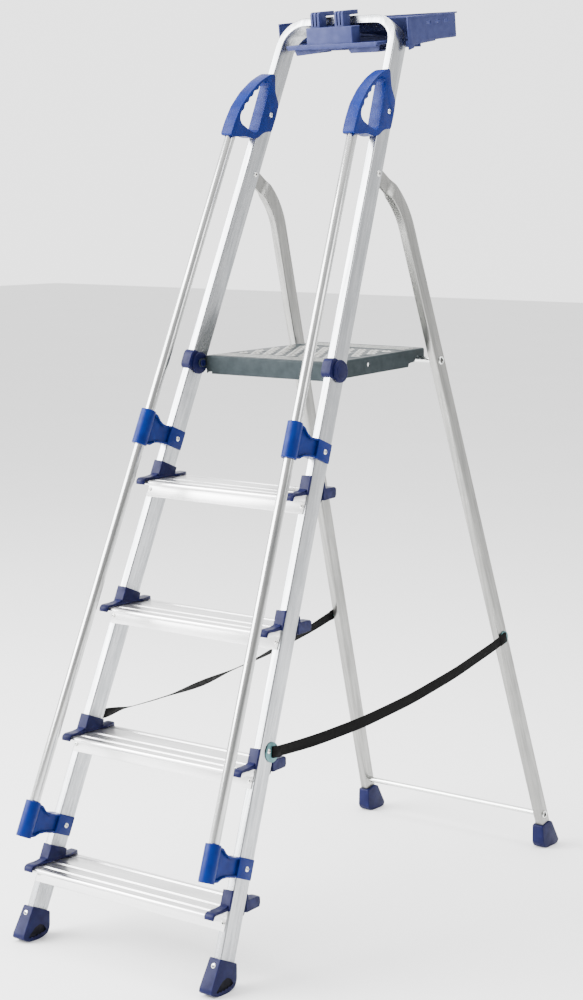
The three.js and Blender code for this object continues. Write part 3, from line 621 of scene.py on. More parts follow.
@dataclass(frozen=True)
class Grained:
    """A finish with a fine grain that shades from dark and rough to light and smooth."""

    name: str
    slot: str
    dark: Rgb
    light: Rgb

    def build_from(
        self, group: bpy.types.NodeTree, rubbed: Rgb, turn: Place = (0.0, 0.0, 0.0),
    ) -> tuple[bpy.types.Material, bpy.types.Node]:
        """Build the material round a grain group.

        Args:
            group: The group that gives the grain's shade, roughness and height.
            rubbed: The colour of the worn edges.
            turn: Rotation that brings the grain's run along Z.

        Returns:
            The material and its shader.
        """
        material, w, shader = start_material(self.name)
        where = w.add("ShaderNodeTexCoord").outputs["Object"]
        aligned = w.add("ShaderNodeMapping", {0: where, 2: turn}).outputs[0]
        values = {
            "Vector": aligned, "Dark": rgba(self.dark), "Light": rgba(self.light),
            "Smoothest": self.smoothest, "Roughest": self.roughest,
        }
        grain = w.add("ShaderNodeGroup", values, node_tree=group).outputs
        wear = {"Vector": where, "Amount": self.wear}
        worn = w.add("ShaderNodeGroup", wear, node_tree=edge_wear_group())
        tone = w.mix(worn.outputs["Mask"], grain["Color"], rgba(rubbed))
        bump = w.add("ShaderNodeBump", {"Height": grain["Height"], "Distance": self.bump})
        w.feed(
            shader,
            {"Base Color": tone, "Roughness": grain["Roughness"], "Normal": bump.outputs[0]},
        )
        return material, shader


@dataclass(frozen=True)
class DrawnMetal(Grained):
    """A drawn or extruded metal surface with fine lines along one direction."""

    smoothest: float
    roughest: float
    turn: Place = (0.0, 0.0, 0.0)
    wear: float = 0.0
    bump: float = 0.00003

    def build(self) -> bpy.types.Material:
        """Build the material."""
        material, shader = self.build_from(drawn_grain_group(), (0.93, 0.93, 0.92), self.turn)
        shader.inputs["Metallic"].default_value = 1.0
        return material


@dataclass(frozen=True)
class MouldedPlastic(Grained):
    """A moulded plastic with a fine grain, cloudy gloss and rubbed edges."""

    rubbed: Rgb
    smoothest: float = 0.32
    roughest: float = 0.5
    wear: float = 0.5
    bump: float = 0.00008
    specular: float = 0.1

    def build(self) -> bpy.types.Material:
        """Build the material."""
        material, shader = self.build_from(moulded_grain_group(), self.rubbed)
        shader.inputs["Specular IOR Level"].default_value = self.specular
        return material


@dataclass(frozen=True)
class Webbing:
    """A woven strap, patterned along the piece's own UV map in millimetres."""

    name: str = "Strap webbing"
    slot: str = "webbing"
    thread: Rgb = (0.0055, 0.0055, 0.006)
    gap: Rgb = (0.001, 0.001, 0.001)

    def build(self) -> bpy.types.Material:
        """Build the material."""
        material, w, shader = start_material(self.name)
        where = w.add("ShaderNodeTexCoord").outputs["UV"]
        parts = w.add("ShaderNodeSeparateXYZ", {0: where})
        ribs = w.math("SINE", w.math("MULTIPLY", parts.outputs[0], 2 * math.pi / 1.5), 0.0)
        picks = w.math("SINE", w.math("MULTIPLY", parts.outputs[1], 2 * math.pi / 1.1), 0.0)
        weave = w.math("MULTIPLY", ribs, picks)
        height = w.ramp(weave, -1.0, 1.0)
        fuzz = w.add("ShaderNodeTexNoise", {0: where, "Scale": 2.6, "Detail": 4.0})
        share = w.math("MULTIPLY", height, w.ramp(fuzz.outputs[0], 0.2, 0.7))
        tone = w.mix(share, rgba(self.gap), rgba(self.thread))
        bump = w.add("ShaderNodeBump", {"Height": height, "Distance": 0.0004})
        rough = w.spread(share, 0.95, 0.7)
        w.feed(shader, {"Base Color": tone, "Roughness": rough, "Normal": bump.outputs[0]})
        shader.inputs["Specular IOR Level"].default_value = 0.12
        return material


LEAN_TURN = (SIZES.lean, 0.0, 0.0)
REAR_TURN = (-SIZES.rear_lean, 0.0, 0.0)
ACROSS_TURN = (0.0, math.pi / 2, 0.0)


class Finish(Enum):
    """Every finish on the ladder."""

    STILE = DrawnMetal(
        "Stile aluminium", "aluminium", (0.31, 0.325, 0.34), (0.51, 0.52, 0.535), 0.22, 0.34,
        LEAN_TURN,
    )
    RAIL = DrawnMetal(
        "Handrail aluminium", "aluminium", (0.38, 0.39, 0.39), (0.66, 0.66, 0.65), 0.14, 0.26,
        LEAN_TURN,
    )
    LEG = DrawnMetal(
        "Leg aluminium", "aluminium", (0.21, 0.21, 0.203), (0.33, 0.33, 0.317), 0.26, 0.4,
        REAR_TURN,
    )
    TREAD = DrawnMetal(
        "Tread aluminium", "tread_aluminium", (0.8, 0.8, 0.8), (0.88, 0.88, 0.88), 0.26, 0.34,
        ACROSS_TURN, bump=0.000006,
    )
    BAR = DrawnMetal(
        "Bar zinc", "zinc", (0.6, 0.62, 0.61), (0.84, 0.85, 0.83), 0.16, 0.3, ACROSS_TURN,
    )
    WASHER = DrawnMetal(
        "Washer zinc", "zinc", (0.07, 0.16, 0.17), (0.12, 0.23, 0.24), 0.28, 0.42, bump=0.00001,
    )
    RIVET = DrawnMetal("Rivet", "rivet_metal", (0.62, 0.62, 0.6), (0.85, 0.85, 0.83), 0.2, 0.35)
    # Near-black painted shade for the insides of rivet holes and bar bores.
    MANDREL = DrawnMetal(
        "Painted hole shade", "rivet_metal", (0.02, 0.02, 0.018), (0.05, 0.05, 0.045), 0.5, 0.7,
    )
    NAVY = MouldedPlastic(
        "Navy plastic", "navy_plastic", (0.0028, 0.0035, 0.029), (0.005, 0.0065, 0.045),
        (0.014, 0.018, 0.08),
    )
    # Near-black painted shade that lines the recesses in the feet's sides.
    RUBBER = MouldedPlastic(
        "Painted recess shade", "navy_plastic", (0.003, 0.003, 0.006), (0.006, 0.006, 0.01),
        (0.02, 0.02, 0.03), 0.6, 0.8,
    )
    BLUE = MouldedPlastic(
        "Blue plastic", "blue_plastic", (0.0012, 0.0085, 0.088), (0.002, 0.014, 0.125),
        (0.015, 0.05, 0.28), 0.28, 0.42,
    )
    TRAY = MouldedPlastic(
        "Tray plastic", "tray_plastic", (0.021, 0.027, 0.092), (0.031, 0.039, 0.122),
        (0.06, 0.07, 0.19),
    )
    COAT = MouldedPlastic(
        "Platform coat", "platform_grey", (0.023, 0.03, 0.033), (0.032, 0.041, 0.045),
        (0.3, 0.31, 0.3), 0.3, 0.42, 0.0, 0.00002, specular=0.035,
    )
    BARE = DrawnMetal(
        "Platform bare edge", "platform_grey", (0.3, 0.3, 0.28), (0.55, 0.55, 0.52), 0.3, 0.45,
    )
    STRAP = Webbing()

    @property
    def material(self) -> bpy.types.Material:
        """The finish's material, built the first time that it is asked for."""
        made = bpy.data.materials.get(self.value.name)
        return made or self.value.build()


def dress(piece: Piece, finish: Finish, body: Body, *replaced: str, smooth: float = 35.0) -> Piece:
    """Give a finished piece its material, its body and the nodes that it stands for.

    Args:
        piece: The piece, in place.
        finish: What it is made of.
        body: The body that it moves with.
        *replaced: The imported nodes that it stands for.
        smooth: The steepest edge, in degrees, that is shaded as smooth.

    Returns:
        The piece.
    """
    if not piece.data.materials:
        piece.data.materials.append(finish.material)
    shade(piece, smooth)
    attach(piece, body.value)
    if replaced:
        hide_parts(*replaced)
    log.info("%s: %d faces", piece.name, len(piece.data.polygons))
    return piece


def both_hands(
    piece: Piece, stem: str, finish: Finish, body: Body, node: str | None = None,
) -> None:
    """Dress a right-hand piece that is in place, and its mirrored twin.

    Args:
        piece: The right-hand piece.
        stem: The pieces' name, before the hand.
        finish: What they are made of.
        body: The body that they move with.
        node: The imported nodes' name with {side} in it, if they stand for nodes.
    """
    twin = copy_of(piece, f"{stem}_{Side.LEFT.value}_look", MIRROR)
    piece.name = f"{stem}_{Side.RIGHT.value}_look"
    for made, side in ((piece, Side.RIGHT), (twin, Side.LEFT)):
        dress(made, finish, body, *([node.format(side=side.value)] if node else []))


# ---------------------------------------------------------------- rivets


@dataclass
class Rivets:
    """Blind rivets: a domed head with a sunken centre, darkened by a painted shade."""

    radius: float = 5.0
    dome: float = 2.3
    hole: float = 1.9
    sunk: float = 1.2
    master: Piece | None = field(default=None, repr=False)

    def build_master(self) -> Piece:
        """Model one rivet head, pointing along +X from the origin."""
        bpy.ops.object.select_all(action="DESELECT")
        bpy.ops.mesh.primitive_uv_sphere_add(segments=28, ring_count=16, radius=self.radius)
        head = newest("rivet_head")
        settle(head, Matrix.Diagonal((self.dome / self.radius, 1.0, 1.0, 1.0)))
        keep_inside(head, slab("half", (0.0, -9.0, -9.0), (9.0, 9.0, 9.0)))
        skirt = rod("skirt", (-0.6, 0.0, 0.0), (0.35, 0.0, 0.0), self.radius, 28)
        fuse(head, skirt)
        floor_x = self.dome - self.sunk
        carve(head, rod("hole", (floor_x, 0.0, 0.0), (9.0, 0.0, 0.0), self.hole, 20))
        soften(head, 0.22, 2, 40.0)
        head.data.materials.append(Finish.RIVET.material)
        # The second material is the painted shade on the faces inside the sunken hole.
        head.data.materials.append(Finish.MANDREL.material)
        for face in head.data.polygons:
            inside = math.hypot(face.center.y, face.center.z) < self.hole * 0.93
            face.material_index = int(inside and face.center.x < self.dome)
        return head

    def put(
        self, name: str, matrix: Matrix, body: Body, node: str | None, size: float = 1.0,
    ) -> None:
        """Set a rivet and its mirrored twin.

        Args:
            name: The pair's name.
            matrix: The frame whose +X the right-hand head points along.
            body: The body that they move with.
            node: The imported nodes' name with {side} in it, if they stand for nodes.
            size: Scale of the head.
        """
        if self.master is None:
            self.master = self.build_master()
        grown = Matrix.Scale(size, 4)
        piece = copy_of(self.master, name, TO_ROW @ matrix @ grown)
        both_hands(piece, name, Finish.RIVET, body, node)

    def remove_master(self) -> None:
        """Remove the rivet that the others are copied from."""
        remove(self.master)


RIVETS = Rivets()


def facing_front(ahead: float, along: float) -> Matrix:
    """Return a frame on the right stile whose +X faces forward.

    Args:
        ahead: Distance in front of the stile's front face.
        along: Distance up the frame.
    """
    place = Matrix.Translation((0.0, -ahead, SIZES.along(along)))
    return STILE_SPACE @ place @ Matrix.Rotation(-math.pi / 2, 4, "Z")


def facing_out(out: float, behind: float, along: float) -> Matrix:
    """Return a frame on the right stile whose +X faces outwards."""
    return STILE_SPACE @ Matrix.Translation((out, behind, SIZES.along(along)))


# ---------------------------------------------------------------- front frame


@dataclass
class FrontFrame:
    """The bent tube that makes both stiles and the hoop over the platform."""

    layout: Layout = SIZES
    wall: float = 1.6
    bend_radius: float = 62.0
    tube_end: float = 22.0
    edge_radius: float = 2.6
    slot_half: float = 4.0
    slot_below: float = 44.0
    slot_above: float = 19.0
    pivot_head: float = 1.25

    def arch(self, inset: float, bottom: float) -> list[Point]:
        """Return the hoop's line, inset from the outside, up one side and down the other."""
        layout = self.layout
        tan = math.tan(layout.splay)
        half = layout.half_width - inset / math.cos(layout.splay)
        top, radius = layout.frame_length - inset, self.bend_radius - inset
        centre_z = top - radius
        centre_x = half - centre_z * tan - radius / math.cos(layout.splay)
        right = arc((centre_x, centre_z), radius, layout.splay, math.pi / 2, 22)
        left = [(-x, z) for x, z in reversed(right)]
        start = (half - bottom * tan, bottom)
        return [start, *right, *left, (-start[0], bottom)]

    def band(self, inset: float, bottom: float) -> list[Point]:
        """Return the closed outline of the tube, or of its bore."""
        inner = self.arch(self.layout.stile_width - inset, bottom)
        return [*self.arch(inset, bottom), *reversed(inner)]

    def build(self) -> None:
        """Build the tube with its bore and its slots, and the leg pivots' rivets."""
        layout = self.layout
        tube = extruded(
            "front_frame_look", self.band(0.0, self.tube_end), Plane.ACROSS_Y, 0.0,
            layout.stile_depth,
        )
        soften(tube, self.edge_radius, 4, 40.0)
        bore = extruded(
            "bore", self.band(self.wall, self.tube_end - 5.0), Plane.ACROSS_Y, self.wall,
            layout.stile_depth - self.wall,
        )
        slot = slab(
            "slot",
            (
                -self.slot_half, layout.pivot_behind,
                layout.along(layout.pivot_along) - self.slot_below,
            ),
            (
                self.slot_half, layout.stile_depth + 2.0,
                layout.along(layout.pivot_along) + self.slot_above,
            ),
        )
        in_frame = Matrix.Translation((layout.stile_centre, 0.0, 0.0)) @ Matrix.Rotation(
            -layout.splay, 4, "Y",
        )
        settle(slot, in_frame)
        carve(tube, bore, copy_of(slot, "slot_left", MIRROR), slot)
        settle(tube, TO_ROW @ FRAME_SPACE)
        dress(tube, Finish.STILE, Body.FRONT, "front_frame")
        half = layout.stile_width / 2
        RIVETS.put(
            "leg_pivot_rivet", facing_out(half, layout.pivot_behind, layout.pivot_along),
            Body.FRONT, "leg_pivot_rivet_{side}", self.pivot_head,
        )
        inward = facing_out(-half, layout.pivot_behind, layout.pivot_along) @ Matrix.Rotation(
            math.pi, 4, "Z",
        )
        RIVETS.put("leg_pivot_tail", inward, Body.FRONT, None, 1.1)


# ---------------------------------------------------------------- treads


@dataclass
class Treads:
    """The four ribbed treads with their folded aprons."""

    layout: Layout = SIZES
    front: float = 41.0
    rear: float = 79.0
    skin: float = 2.2
    nose: float = 9.0
    apron_drop: float = 35.0
    rear_lip: float = 12.0
    gap: float = 0.4
    side_margin: float = 3.0
    rivet_drop: float = 24.0
    groove: float = 1.1

    def grooves(self, start: float, end: float, places: Iterable[float]) -> list[Point]:
        """Return the top's line from one depth to another, with a groove at each place."""
        line: list[Point] = [(start, 0.0)]
        for at in places:
            half, deep = self.groove, -1.3
            line += [
                (at + half, 0.0), (at + half * 0.6, deep), (at - half * 0.6, deep),
                (at - half, 0.0),
            ]
        return [*line, (end, 0.0)]

    def section(self) -> list[Point]:
        """Return the tread's closed section in Y and Z."""
        slope = math.tan(self.layout.lean)
        skin, drop, nose = self.skin, self.apron_drop, self.nose

        def apron(z: float) -> float:
            return z * slope - self.gap

        places = [66.0, 62.0, 15.0, 11.0, -17.0, -21.0]
        return [
            (self.rear - 1.0, -self.rear_lip), (self.rear, -self.rear_lip + 1.0), (self.rear, -2.0),
            (self.rear - 0.6, -0.6), *self.grooves(self.rear - 2.0, -self.front + 5.0, places),
            *arc((-self.front + 4.5, -4.5), 4.5, math.pi * 0.52, math.pi * 1.48, 8),
            (apron(-nose) - skin - 5.0, -nose), (apron(-nose - 1.2) - skin - 1.2, -nose - 1.2),
            (apron(-nose - 5.0) - skin, -nose - 5.0), (apron(-drop + 1.0) - skin, -drop + 1.0),
            (apron(-drop) - skin + 0.8, -drop), (apron(-drop), -drop), (apron(-nose), -nose),
            (apron(-skin) - 1.5, -skin - 2.0), (apron(-skin) + 3.0, -skin),
            (self.rear - skin, -skin), (self.rear - skin, -self.rear_lip),
        ]

    def build(self) -> None:
        """Build every tread, notched round the stiles, and its rivets."""
        layout = self.layout
        slope = math.tan(layout.lean)
        for number, top in enumerate(layout.tread_tops, start=1):
            inner = layout.stile_inner_x(top)
            outer = inner + layout.stile_width - self.side_margin
            plank = extruded(f"tread_{number}_look", self.section(), Plane.ACROSS_X, -outer, outer)
            reach = -(self.apron_drop + 3.0)
            corner = [
                (3.0 * slope - self.gap, 3.0), (reach * slope - self.gap, reach),
                (self.rear + 3.0, reach), (self.rear + 3.0, 3.0),
            ]
            notch = extruded("notch", corner, Plane.ACROSS_X, inner - 1.2, outer + 3.0)
            carve(plank, copy_of(notch, "notch_left", MIRROR), notch)
            soften(plank, 0.35, 2, 50.0)
            settle(plank, TO_ROW @ tread_space(top))
            dress(plank, Finish.TREAD, Body.FRONT, f"tread_{number}", smooth=50.0)
            RIVETS.put(
                f"tread_rivet_{number}",
                facing_front(self.skin + self.gap, top / math.cos(layout.lean) - self.rivet_drop),
                Body.FRONT, f"tread_rivet_{{side}}_{number}", 0.95,
            )


@dataclass
class TreadBrackets:
    """The moulded brackets that clasp a stile and cap a tread's end."""

    layout: Layout = SIZES
    collar_top: float = 36.0
    collar_wall: float = 4.0
    wing_height: float = 5.5
    gap: float = 0.4

    def build_right(self) -> Piece:
        """Model the right-hand bracket, about the middle of the stile's front face."""
        layout = self.layout
        half = layout.stile_width / 2 + self.gap
        wall, top, wing = self.collar_wall, self.collar_top, self.wing_height
        face = layout.stile_depth
        cheek = rounded(
            [
                (-wall - 0.4, -6.0), (-wall - 0.4, top), (face - 1.0, top), (face + 2.0, 4.0),
                (face, -6.0),
            ],
            1.5,
        )
        collar = extruded("tread_bracket", cheek, Plane.ACROSS_X, -half - wall, half)
        settle(collar, STILE_TURN)
        soften(collar, 1.1, 3, 40.0)
        plan = [
            (-half - 4.6, -37.0), (half - 3.0, -37.0), (half - 2.0, 20.0), (half - 2.0, 86.0),
            (-half - 1.0, 86.0), (-half - 5.0, 78.0), (-half - 10.5, 52.0), (-half - 5.0, 41.0),
            (-half - 5.0, -4.0),
        ]
        pad = extruded("pad", rounded(plan, 3.0, 4), Plane.ACROSS_Z, self.gap, wing)
        soften(pad, 1.0, 3, 40.0)
        slope = math.tan(layout.lean)
        rise = [
            (-37.5, wing - 1.6), (-7.0, wing + 1.8), (2.0, wing + 6.0), (6.0, self.gap),
            (-37.5, self.gap),
        ]
        gusset = extruded("gusset", rise, Plane.ACROSS_X, -half - 2.4, half - 4.5)
        claw = [
            (-34.0, wing), (-40.0, wing - 0.5), (-44.6, wing - 3.6), (-46.4, -1.0), (-46.4, -7.4),
            (-43.4, -7.8), (-42.0, -6.0), (-42.0, -2.2), (-40.0, 0.2), (-34.0, self.gap),
        ]
        toe = extruded("toe", rounded(claw, 1.6), Plane.ACROSS_X, -half - 4.6, half - 3.0)
        soften(toe, 0.8, 2, 40.0)
        stub_start = face / math.cos(layout.lean) + 3.0
        tail = [
            (stub_start, -17.0), (86.0, -15.0), (88.5, -10.0), (88.5, 3.0), (84.0, wing),
            (stub_start + 7.0, wing), (stub_start + 5.0, wing + 13.0), (stub_start, wing + 13.0),
        ]
        stub = extruded("stub", rounded(tail, 2.2), Plane.ACROSS_X, -half + 0.8, half - 2.0)
        soften(stub, 1.0, 3, 40.0)
        bracket = fuse(collar, pad, gusset, toe, stub)
        stile = slab("stile", (-half, -self.gap, -200.0), (half + 30.0, face + self.gap, 200.0))
        settle(stile, STILE_TURN)
        under = slab("under", (-60.0, -41.8, -60.0), (60.0, 1.0, self.gap))
        end_space = slab("end_space", (-60.0, -41.8, -60.0), (-half, 79.4, self.gap))
        carve(bracket, stile, under, end_space)
        return bracket

    def build(self) -> None:
        """Build the bracket once, and set a copy at both ends of every tread."""
        master = self.build_right()
        for number, top in enumerate(self.layout.tread_tops, start=1):
            placed = copy_of(master, f"bracket_{number}", TO_ROW @ bracket_space(top))
            both_hands(
                placed, f"tread_bracket_{number}", Finish.NAVY, Body.FRONT,
                f"tread_bracket_{{side}}_{number}",
            )
        remove(master)


# ---------------------------------------------------------------- feet


@dataclass
class Feet:
    """The moulded boots on the four tube ends."""

    layout: Layout = SIZES
    sole_inside: float = 10.0
    outside: float = 3.0
    wall: float = 4.0
    height: float = 70.0
    rivet_along: float = 55.0
    rivet_ahead: float = 7.0

    def boot(self, name: str, outline: list[Point], splay: float, width: float) -> Piece:
        """Model a boot from its side outline, wider at the sole than at the top.

        Args:
            name: The piece's name.
            outline: The boot's side in Y and Z.
            splay: The tube's lean inwards.
            width: The tube's width.

        Returns:
            The boot, about the tube's middle at the floor.
        """
        piece = extruded(name, outline, Plane.ACROSS_X, -1.0, 1.0)
        for vertex in piece.data.vertices:
            z = vertex.co.z
            drift = -z * math.tan(splay)
            flare = self.sole_inside + (z / self.height) * (self.wall - self.sole_inside)
            side = width / 2 + (self.outside if vertex.co.x > 0 else flare)
            vertex.co.x = drift + math.copysign(side, vertex.co.x)
        soften(piece, 2.4, 4, 30.0)
        return piece

    def recess(self, piece: Piece, outline: list[Point], depth: float, width: float) -> None:
        """Cut a shallow window into both sides of a boot, lined with a near-black painted shade."""
        piece.data.materials.append(Finish.NAVY.material)
        for edge in (width / 2 + self.outside - depth, -width / 2 - self.sole_inside - 4.0):
            reach = edge + (depth + 4.0)
            window = extruded("recess", rounded(outline, 1.0, 2), Plane.ACROSS_X, edge, reach)
            # The window's faces carry the near-black painted recess shade into the boot.
            window.data.materials.append(Finish.RUBBER.material)
            cut = {"operation": "DIFFERENCE", "object": window, "solver": "EXACT"}
            use(piece, "BOOLEAN", material_mode="TRANSFER", **cut)
            remove(window)

    def build(self) -> None:
        """Build the front and rear boots with their rivets."""
        layout = self.layout
        front_side = [
            (20.0, 67.0), (65.0, 47.0), (63.5, 20.0), (61.0, 12.0), (56.0, 5.5), (44.0, 1.4),
            (32.0, 0.0), (20.0, 0.0), (8.0, 1.2), (-3.0, 4.6), (-9.5, 9.5), (-8.0, 17.0),
        ]
        front = self.boot(
            "front_foot", rounded(front_side, 3.0, 3), layout.splay, layout.stile_width,
        )
        teeth = [
            (4.0 + 4.4 * i, (6.5 if i % 2 else 9.5) + 0.012 * (i * 4.4 - 14.0) ** 2 * 0.4)
            for i in range(10)
        ]
        window = [*teeth, (52.0, 14.0), (46.0, 24.0), (36.0, 29.0), (22.0, 25.0)]
        self.recess(front, window, 2.7, layout.stile_width)
        pocket = slab("pocket", (-9.4, -0.4, 20.0), (9.4, layout.stile_depth + 0.4, 200.0))
        settle(pocket, STILE_TURN)
        carve(front, pocket)
        settle(front, TO_ROW @ Matrix.Translation((layout.stile_centre, 0.0, 0.0)))
        both_hands(front, "front_foot", Finish.NAVY, Body.FRONT, "front_foot_{side}")
        RIVETS.put(
            "front_foot_rivet", facing_front(self.rivet_ahead - 0.6, self.rivet_along), Body.FRONT,
            "front_foot_rivet_{side}", 1.2,
        )
        rear_side = [
            (-38.0, 51.0), (-10.0, 57.5), (3.0, 54.5), (29.0, 9.0), (24.0, 2.0), (12.0, 0.0),
            (-20.0, 0.0), (-30.0, 2.5), (-36.0, 12.0),
        ]
        rear = self.boot(
            "rear_foot", rounded(rear_side, 3.0, 3), layout.leg_splay, layout.leg_width,
        )
        half_depth = layout.leg_depth / 2 + 0.4
        hole = slab("hole", (-9.4, -half_depth, 12.5), (9.4, half_depth, 200.0))
        settle(
            hole,
            Matrix.Rotation(-layout.leg_splay, 4, "Y") @ Matrix.Rotation(layout.rear_lean, 4, "X"),
        )
        carve(rear, hole)
        place = Matrix.Translation((layout.leg_centre, layout.feet_spread, 0.0))
        settle(rear, TO_ROW @ place)
        both_hands(rear, "rear_foot", Finish.NAVY, Body.REAR, "rear_foot_{side}")


# ---------------------------------------------------------------- handrails


@dataclass
class Handrails:
    """The round handrails with their clamps and D-shaped grips."""

    layout: Layout = SIZES
    radius: float = 10.2
    wall: float = 1.2
    top: float = 1640.0
    bottom: float = 212.0
    ahead_top: float = 64.0
    ahead_bottom: float = 72.0
    clamp_heights: dict[str, float] = field(
        default_factory=lambda: {"lower": 234.0, "upper": 1019.0}
    )
    sleeve_radius: float = 15.0
    grip_half: float = 13.5
    grip_along: float = 1704.5
    gap: float = 0.4

    @property
    def slope(self) -> float:
        """How fast the rail draws away from the stile, going down."""
        return (self.ahead_bottom - self.ahead_top) / (self.top - self.bottom)

    def ahead(self, along: float) -> float:
        """Distance of the rail's middle in front of the stile's front face."""
        return self.ahead_top + (self.top - along) * self.slope

    def rail_line(self, along: float, low: float, high: float) -> tuple[Place, Place]:
        """Return two points on the rail's middle line, about a height that is taken as zero."""
        ahead = self.ahead(along)
        return (0.0, -ahead + low * self.slope, low), (0.0, -ahead + high * self.slope, high)

    def build_rail(self) -> None:
        """Build the two rails as open tubes."""
        length = self.layout.along(self.top - self.bottom)
        rail = rod("handrail", *self.rail_line(self.bottom, 0.0, length), self.radius, 48)
        carve(
            rail,
            rod(
                "bore", *self.rail_line(self.bottom, -3.0, length + 3.0), self.radius - self.wall,
                32,
            ),
        )
        soften(rail, 0.3, 2, 50.0)
        settle(rail, TO_ROW @ facing_out(0.0, 0.0, self.bottom))
        both_hands(rail, "handrail", Finish.RAIL, Body.FRONT, "handrail_{side}")

    def saddle_space(self) -> Piece:
        """Return the room that a stile takes, to cut out of what clasps it."""
        half = self.layout.stile_width / 2 + self.gap
        return slab(
            "stile", (-half, -self.gap, -300.0), (half, self.layout.stile_depth + 40.0, 300.0),
        )

    def build_clamp(self, level: str, along: float) -> None:
        """Build one pair of clamps: a sleeve, a flanged web and a saddle.

        Args:
            level: Which pair.
            along: Distance up the frame.
        """
        ahead = self.ahead(along)
        low, high = -39.0, 31.0
        start, end = self.rail_line(along, low, high)
        body = rod(
            "sleeve", (0.0, start[1] - 2.0, low), (0.0, end[1] - 2.0, high), self.sleeve_radius, 56,
        )
        soften(body, 1.2, 3, 50.0)
        upper = [
            (-ahead + 2.0, 29.5), (-ahead + 16.0, 27.0), (-ahead + 27.0, 19.0),
            (-ahead + 40.0, 14.8),
        ]
        upper += [(-3.0, 19.0), (-3.0, 15.0), (-ahead + 41.0, 11.4), (-ahead + 28.0, 15.4)]
        upper += [(-ahead + 16.0, 23.0), (-ahead + 2.0, 25.5)]
        lower = [(a, -8.0 - b * 0.98) for a, b in upper]
        lower = [(a, max(b, -37.0) if a > -ahead + 20.0 else b) for a, b in lower]
        lower[4] = (-3.0, -19.0)
        lower[5] = (-3.0, -15.0)
        top_flange = extruded("flange", rounded(upper, 1.0, 3), Plane.ACROSS_X, -11.5, 11.5)
        low_flange = extruded("flange_low", rounded(lower, 1.0, 3), Plane.ACROSS_X, -11.5, 11.5)
        web = [(-ahead, 28.0), (-ahead + 16.0, 25.0), (-ahead + 28.0, 17.0), (-2.0, 16.0)]
        web += [(-2.0, -16.0), (-ahead + 28.0, -22.0), (-ahead + 16.0, -32.0), (-ahead, -35.0)]
        core = extruded("core", web, Plane.ACROSS_X, -7.2, 7.2)
        plate = rounded([(-3.8, -19.0), (-3.8, 19.0), (39.0, 19.0), (39.0, -19.0)], 2.0, 4)
        half = self.layout.stile_width / 2 + 3.6
        saddle = extruded("saddle", plate, Plane.ACROSS_X, -half, half)
        soften(saddle, 0.9, 3, 40.0)
        clamp = fuse(body, core, top_flange, low_flange, saddle)
        bore_start, bore_end = self.rail_line(along, low - 4.0, high + 4.0)
        carve(
            clamp, self.saddle_space(),
            rod("bore", bore_start, bore_end, self.radius + self.gap, 40),
        )
        settle(clamp, TO_ROW @ facing_out(0.0, 0.0, along))
        both_hands(
            clamp, f"rail_clamp_{level}", Finish.BLUE, Body.FRONT, f"rail_clamp_{level}_{{side}}",
        )
        RIVETS.put(
            f"rail_clamp_rivet_{level}", facing_out(half, self.layout.stile_depth / 2, along),
            Body.FRONT, f"rail_clamp_rivet_{level}_{{side}}",
        )
        inner = facing_out(-half, self.layout.stile_depth / 2, along) @ Matrix.Rotation(
            math.pi, 4, "Z",
        )
        RIVETS.put(f"rail_clamp_rivet_inner_{level}", inner, Body.FRONT, None)

    def build_grip(self) -> None:
        """Build the pair of D-shaped grips."""
        outline = [
            (-79.0, -84.0), (-78.0, -56.0), (-73.0, -22.0), (-59.0, 14.0), (-39.0, 46.0),
            (-21.0, 66.0), (-9.0, 76.5), (0.0, 76.5), (6.0, 62.0), (14.0, 46.0), (34.5, 28.0),
            (37.0, 2.0), (36.0, -31.0), (25.0, -34.0), (12.0, -43.0), (1.0, -59.0), (-15.0, -66.0),
            (-36.0, -69.0), (-56.0, -79.0), (-70.0, -84.0),
        ]
        grip = extruded(
            "grip_handle", rounded(outline, 8.0, 5), Plane.ACROSS_X, -self.grip_half,
            self.grip_half,
        )
        ring = [
            (-4.0, -46.0), (-6.0, 50.0), (-12.0, 56.0), (-22.0, 55.0), (-32.0, 47.0), (-37.5, 38.0),
            (-36.5, 30.0), (-48.5, 22.5), (-47.0, 12.5), (-56.0, 5.0), (-54.0, -3.5),
            (-63.5, -11.5), (-61.5, -22.0), (-67.0, -30.0), (-66.0, -43.0), (-57.0, -51.0),
            (-36.0, -53.0), (-12.0, -53.0),
        ]
        hole = extruded("hand_hole", rounded(ring, 4.5, 4), Plane.ACROSS_X, -20.0, 20.0)
        carve(grip, hole)
        stile = self.saddle_space()
        start, end = self.rail_line(
            self.grip_along, -220.0, self.layout.along(self.top - self.grip_along),
        )
        carve(grip, stile, rod("rail_end", start, end, self.radius + self.gap, 40))
        for side in (1.0, -1.0):
            sink = rod("sink", (side * 12.7, 21.0, 0.0), (side * 18.0, 21.0, 0.0), 7.2, 32)
            carve(grip, sink)
        soften(grip, 2.2, 4, 40.0)
        settle(grip, TO_ROW @ facing_out(0.0, 0.0, self.grip_along))
        both_hands(grip, "grip_handle", Finish.BLUE, Body.FRONT, "grip_handle_{side}")
        out = self.grip_half - 0.9
        RIVETS.put(
            "grip_rivet", facing_out(out, 21.0, self.grip_along), Body.FRONT, "grip_rivet_{side}",
        )
        inner = facing_out(-out, 21.0, self.grip_along) @ Matrix.Rotation(math.pi, 4, "Z")
        RIVETS.put("grip_rivet_inner", inner, Body.FRONT, None)

    def build(self) -> None:
        """Build the rails, the clamps and the grips."""
        self.build_rail()
        for level, along in self.clamp_heights.items():
            self.build_clamp(level, along)
        self.build_grip()


# ---------------------------------------------------------------- rear frame


